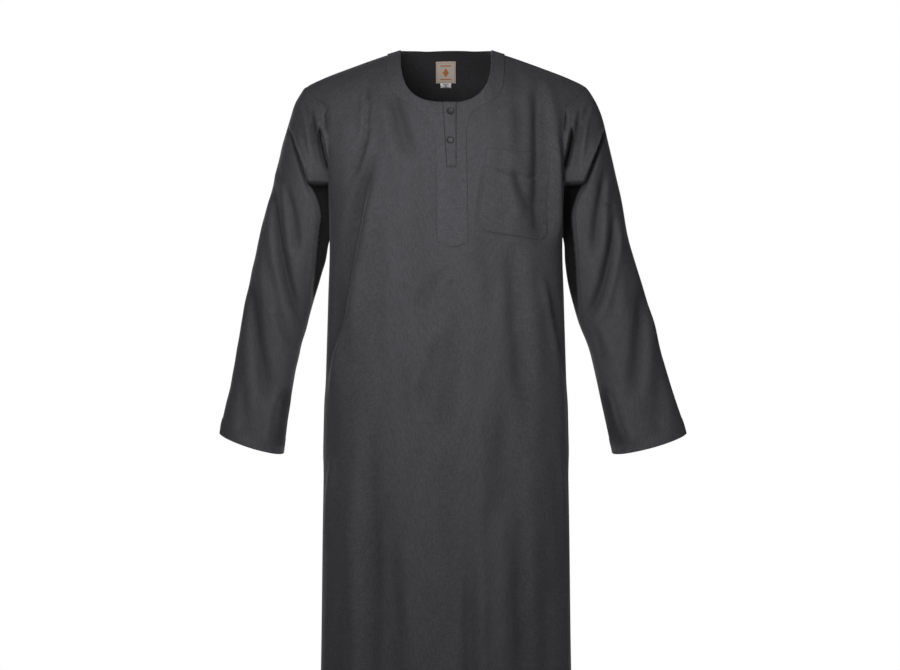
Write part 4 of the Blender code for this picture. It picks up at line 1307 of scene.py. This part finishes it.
def make_button(number, height, material, thread):
    """Four-hole button with a raised rim, and the thread that crosses its holes."""
    radius, thick = BUTTON_RADIUS, BUTTON_THICK
    # from the middle of the top, over the rim and under, as shares of the radius and the thickness
    profile = ((0.0, 0.56), (0.34, 0.54), (0.58, 0.55), (0.70, 0.70), (0.80, 0.97), (0.87, 1.0),
               (0.95, 0.90), (1.0, 0.60), (0.97, 0.30), (0.84, 0.06), (0.70, 0.0), (0.0, 0.0))
    mesh = bpy.data.meshes.new(f"button_{number}_disc")
    mesh.from_pydata([(out * radius, 0, up * thick) for out, up in profile],
                     [(i, i + 1) for i in range(len(profile) - 1)], [])
    button = new_object(f"button_{number}_disc", mesh)
    turn = button.modifiers.new("turn", "SCREW")
    turn.steps = turn.render_steps = 48
    turn.use_merge_vertices = True
    turn.merge_threshold = 0.00003
    hole_out = radius * 0.27
    bpy.ops.object.select_all(action="DESELECT")
    cutters = []
    for quarter in range(4):
        angle = math.pi / 4 + quarter * math.pi / 2
        middle = (hole_out * math.cos(angle), hole_out * math.sin(angle), 0)
        bpy.ops.mesh.primitive_cylinder_add(vertices=14, radius=HOLE_RADIUS, depth=thick * 3, location=middle)
        cutters.append(bpy.context.object)
    for cutter in cutters:
        cut = button.modifiers.new("hole", "BOOLEAN")
        cut.operation, cut.object, cut.solver = "DIFFERENCE", cutter, "EXACT"
    bpy.context.view_layer.update()
    shape = bpy.data.meshes.new_from_object(button.evaluated_get(bpy.context.evaluated_depsgraph_get()))
    button.modifiers.clear()
    button.data = shape
    for cutter in cutters:
        bpy.data.objects.remove(cutter)
    shape.materials.clear()
    shape.materials.append(material)
    shape.shade_smooth()
    shape.set_sharp_from_angle(angle=math.radians(35))

    runs = []
    reach = hole_out * 0.74
    for side in (-1, 1):
        line = np.array([[-reach, side * reach, thick * 0.50], [0, side * reach, thick * 0.62],
                         [reach, side * reach, thick * 0.50]])
        for shift in (-0.00022, 0.00022):
            runs.append(stitch_run(line + (0, shift, 0), np.tile([0.0, 0.0, 1.0], (3, 1)),
                                   pitch=0.01, share=1.0, radius=0.00024))
    stitches = join_stitches(f"button_{number}_thread", runs, thread)

    point, normal = body_point(BUTTON_X, drop_of(BUTTON_X, height), -1)
    lift = TRIM_LIFT + FLY_WALL + SEAM_GAP
    tilt = math.atan2(normal[2], -normal[1])
    for piece in (button, stitches):
        piece.location = (point + normal * lift).tolist()
        piece.rotation_euler = (math.pi / 2 - tilt, 0, math.atan2(normal[0], -normal[1]))
        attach(piece, "root")
    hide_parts(f"button_{number}")


# ---------------------------------------------------------------- the robe

suiting = weave_suiting("suiting")
facing = weave_suiting("facing_suiting", lift=1.06)
thread = thread_material()
horn = button_material()


def dress(piece, node, material):
    """The piece stands for its CAD node, in its material."""
    piece.data.materials.append(material)
    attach(piece, "root")
    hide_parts(node)


panels, grids, normals = make_panels()
for node, panel in panels.items():
    dress(panel, node, suiting)
for strip in make_allowances(grids, normals):
    strip.data.materials.append(suiting)
    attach(strip, "root")
placket = make_neck_placket()
dress(placket, "neck_placket", facing)
fly = make_fly()
dress(fly, "button_fly", facing)
pocket = make_pocket()
dress(pocket, "chest_pocket", suiting)
label = make_label("neck_label_woven", LABEL_HALF, LABEL_TOP, LABEL_FOOT, 22)
ribbon = label_material("label_woven", (0.50, 0.44, 0.38), (0.42, 0.16, 0.06),
                        LABEL_HALF, (LABEL_TOP - LABEL_FOOT) / 2)
dress(label, "neck_label", ribbon)
tab = make_label("size_tab_woven", TAB_HALF, LABEL_FOOT - SEAM_GAP, TAB_FOOT, 8)
tape = label_material("tab_white", (0.74, 0.74, 0.76), (0.25, 0.25, 0.27),
                      TAB_HALF, (LABEL_FOOT - TAB_FOOT) / 2)
dress(tab, "size_tab", tape)

facing_stitches(thread)
pocket_stitches(thread)
grid_stitches("hem_stitches", hem_lines(grids, normals), thread)
grid_stitches("shoulder_stitches", seam_lines(grids, normals), thread)
for number, height in enumerate(BUTTON_HEIGHTS, start=1):
    make_button(number, height, horn, thread)


# ---------------------------------------------------------------- stage

FLOOR_GLOW = 0.62        # how bright the floor looks of itself, seen directly


def make_floor():
    """Pale studio floor, below the hem."""
    bpy.ops.mesh.primitive_plane_add(size=5.0, location=(0, 0, -LENGTH - 0.10))
    floor = bpy.context.object
    floor.name = "studio_floor"
    material, add, link, maths, shader = new_material("studio_floor")
    place = add("ShaderNodeTexCoord")
    grain = add("ShaderNodeTexNoise", Scale=6.0, Detail=3.0)
    ramp = add("ShaderNodeValToRGB")
    ramp.color_ramp.elements[0].color = (0.78, 0.78, 0.78, 1.0)
    ramp.color_ramp.elements[1].color = (0.84, 0.84, 0.84, 1.0)
    link(place.outputs["Object"], grain.inputs["Vector"])
    link(grain.outputs["Fac"], ramp.inputs["Fac"])
    link(ramp.outputs["Color"], shader.inputs["Base Color"])
    shader.inputs["Roughness"].default_value = 0.85
    # seen directly, the floor is as bright as the backdrop lets it be, and it lights nothing
    path = add("ShaderNodeLightPath")
    glow = maths("MULTIPLY", path.outputs["Is Camera Ray"], FLOOR_GLOW)
    shader.inputs["Emission Color"].default_value = (1.0, 1.0, 1.0, 1.0)
    link(glow, shader.inputs["Emission Strength"])
    floor.data.materials.append(material)


def soft_light(name, place, aim, size, power):
    """A square softbox at a place, turned towards its aim."""
    data = bpy.data.lights.new(name, "AREA")
    data.shape = "SQUARE"
    data.size = size
    data.energy = power
    lamp = new_object(name, data)
    lamp.location = place
    toward = np.subtract(aim, place)
    lamp.rotation_euler = (math.acos(-toward[2] / np.linalg.norm(toward)), 0,
                           math.atan2(toward[0], -toward[1]) + math.pi)
    lamp.visible_camera = False


def make_world(ambient=0.08):
    """White behind the robe, and a dimmer light from all round on it."""
    world = bpy.data.worlds.new("studio")
    bpy.context.scene.world = world
    world.use_nodes = True
    tree = world.node_tree
    backdrop = tree.nodes["Background"]
    backdrop.inputs["Color"].default_value = (1.0, 1.0, 1.0, 1.0)
    backdrop.inputs["Strength"].default_value = 1.0
    around = tree.nodes.new("ShaderNodeBackground")
    around.inputs["Color"].default_value = (0.97, 0.98, 1.0, 1.0)
    around.inputs["Strength"].default_value = ambient
    path = tree.nodes.new("ShaderNodeLightPath")
    mix = tree.nodes.new("ShaderNodeMixShader")
    tree.links.new(path.outputs["Is Camera Ray"], mix.inputs[0])
    tree.links.new(around.outputs["Background"], mix.inputs[1])
    tree.links.new(backdrop.outputs["Background"], mix.inputs[2])
    tree.links.new(mix.outputs["Shader"], tree.nodes["World Output"].inputs["Surface"])


LENS = 200.0
SENSOR = 36.0
VIEW_WIDTH = 1.5165      # width of the view in the plane of the side seams
VIEW_X, VIEW_Z = 0.0067, -0.4785
EYE_Z = -0.15            # the camera looks down a little

make_floor()
make_world()
soft_light("key", (-0.20, -1.08, -0.04), (0.0, -0.1, -0.35), 0.42, 10.0)
soft_light("fill", (0.55, -1.30, -0.30), (0.0, -0.1, -0.35), 0.60, 4.0)
soft_light("back_right", (-0.70, 1.90, 0.10), (0.0, 0.1, -0.60), 0.8, 17.0)
soft_light("back_left", (0.50, 2.00, -0.20), (0.0, 0.1, -0.60), 0.8, 12.0)

camera_data = bpy.data.cameras.new("camera")
camera_data.lens = LENS
camera_data.sensor_width = SENSOR
camera_data.clip_end = 60.0
camera = new_object("camera", camera_data)
distance = VIEW_WIDTH * LENS / SENSOR
camera.location = (VIEW_X, -distance, EYE_Z)
camera.rotation_euler = (math.pi / 2 - math.atan2(EYE_Z - VIEW_Z, distance), 0, 0)
bpy.context.scene.camera = camera
bpy.context.scene.view_settings.view_transform = "Standard"
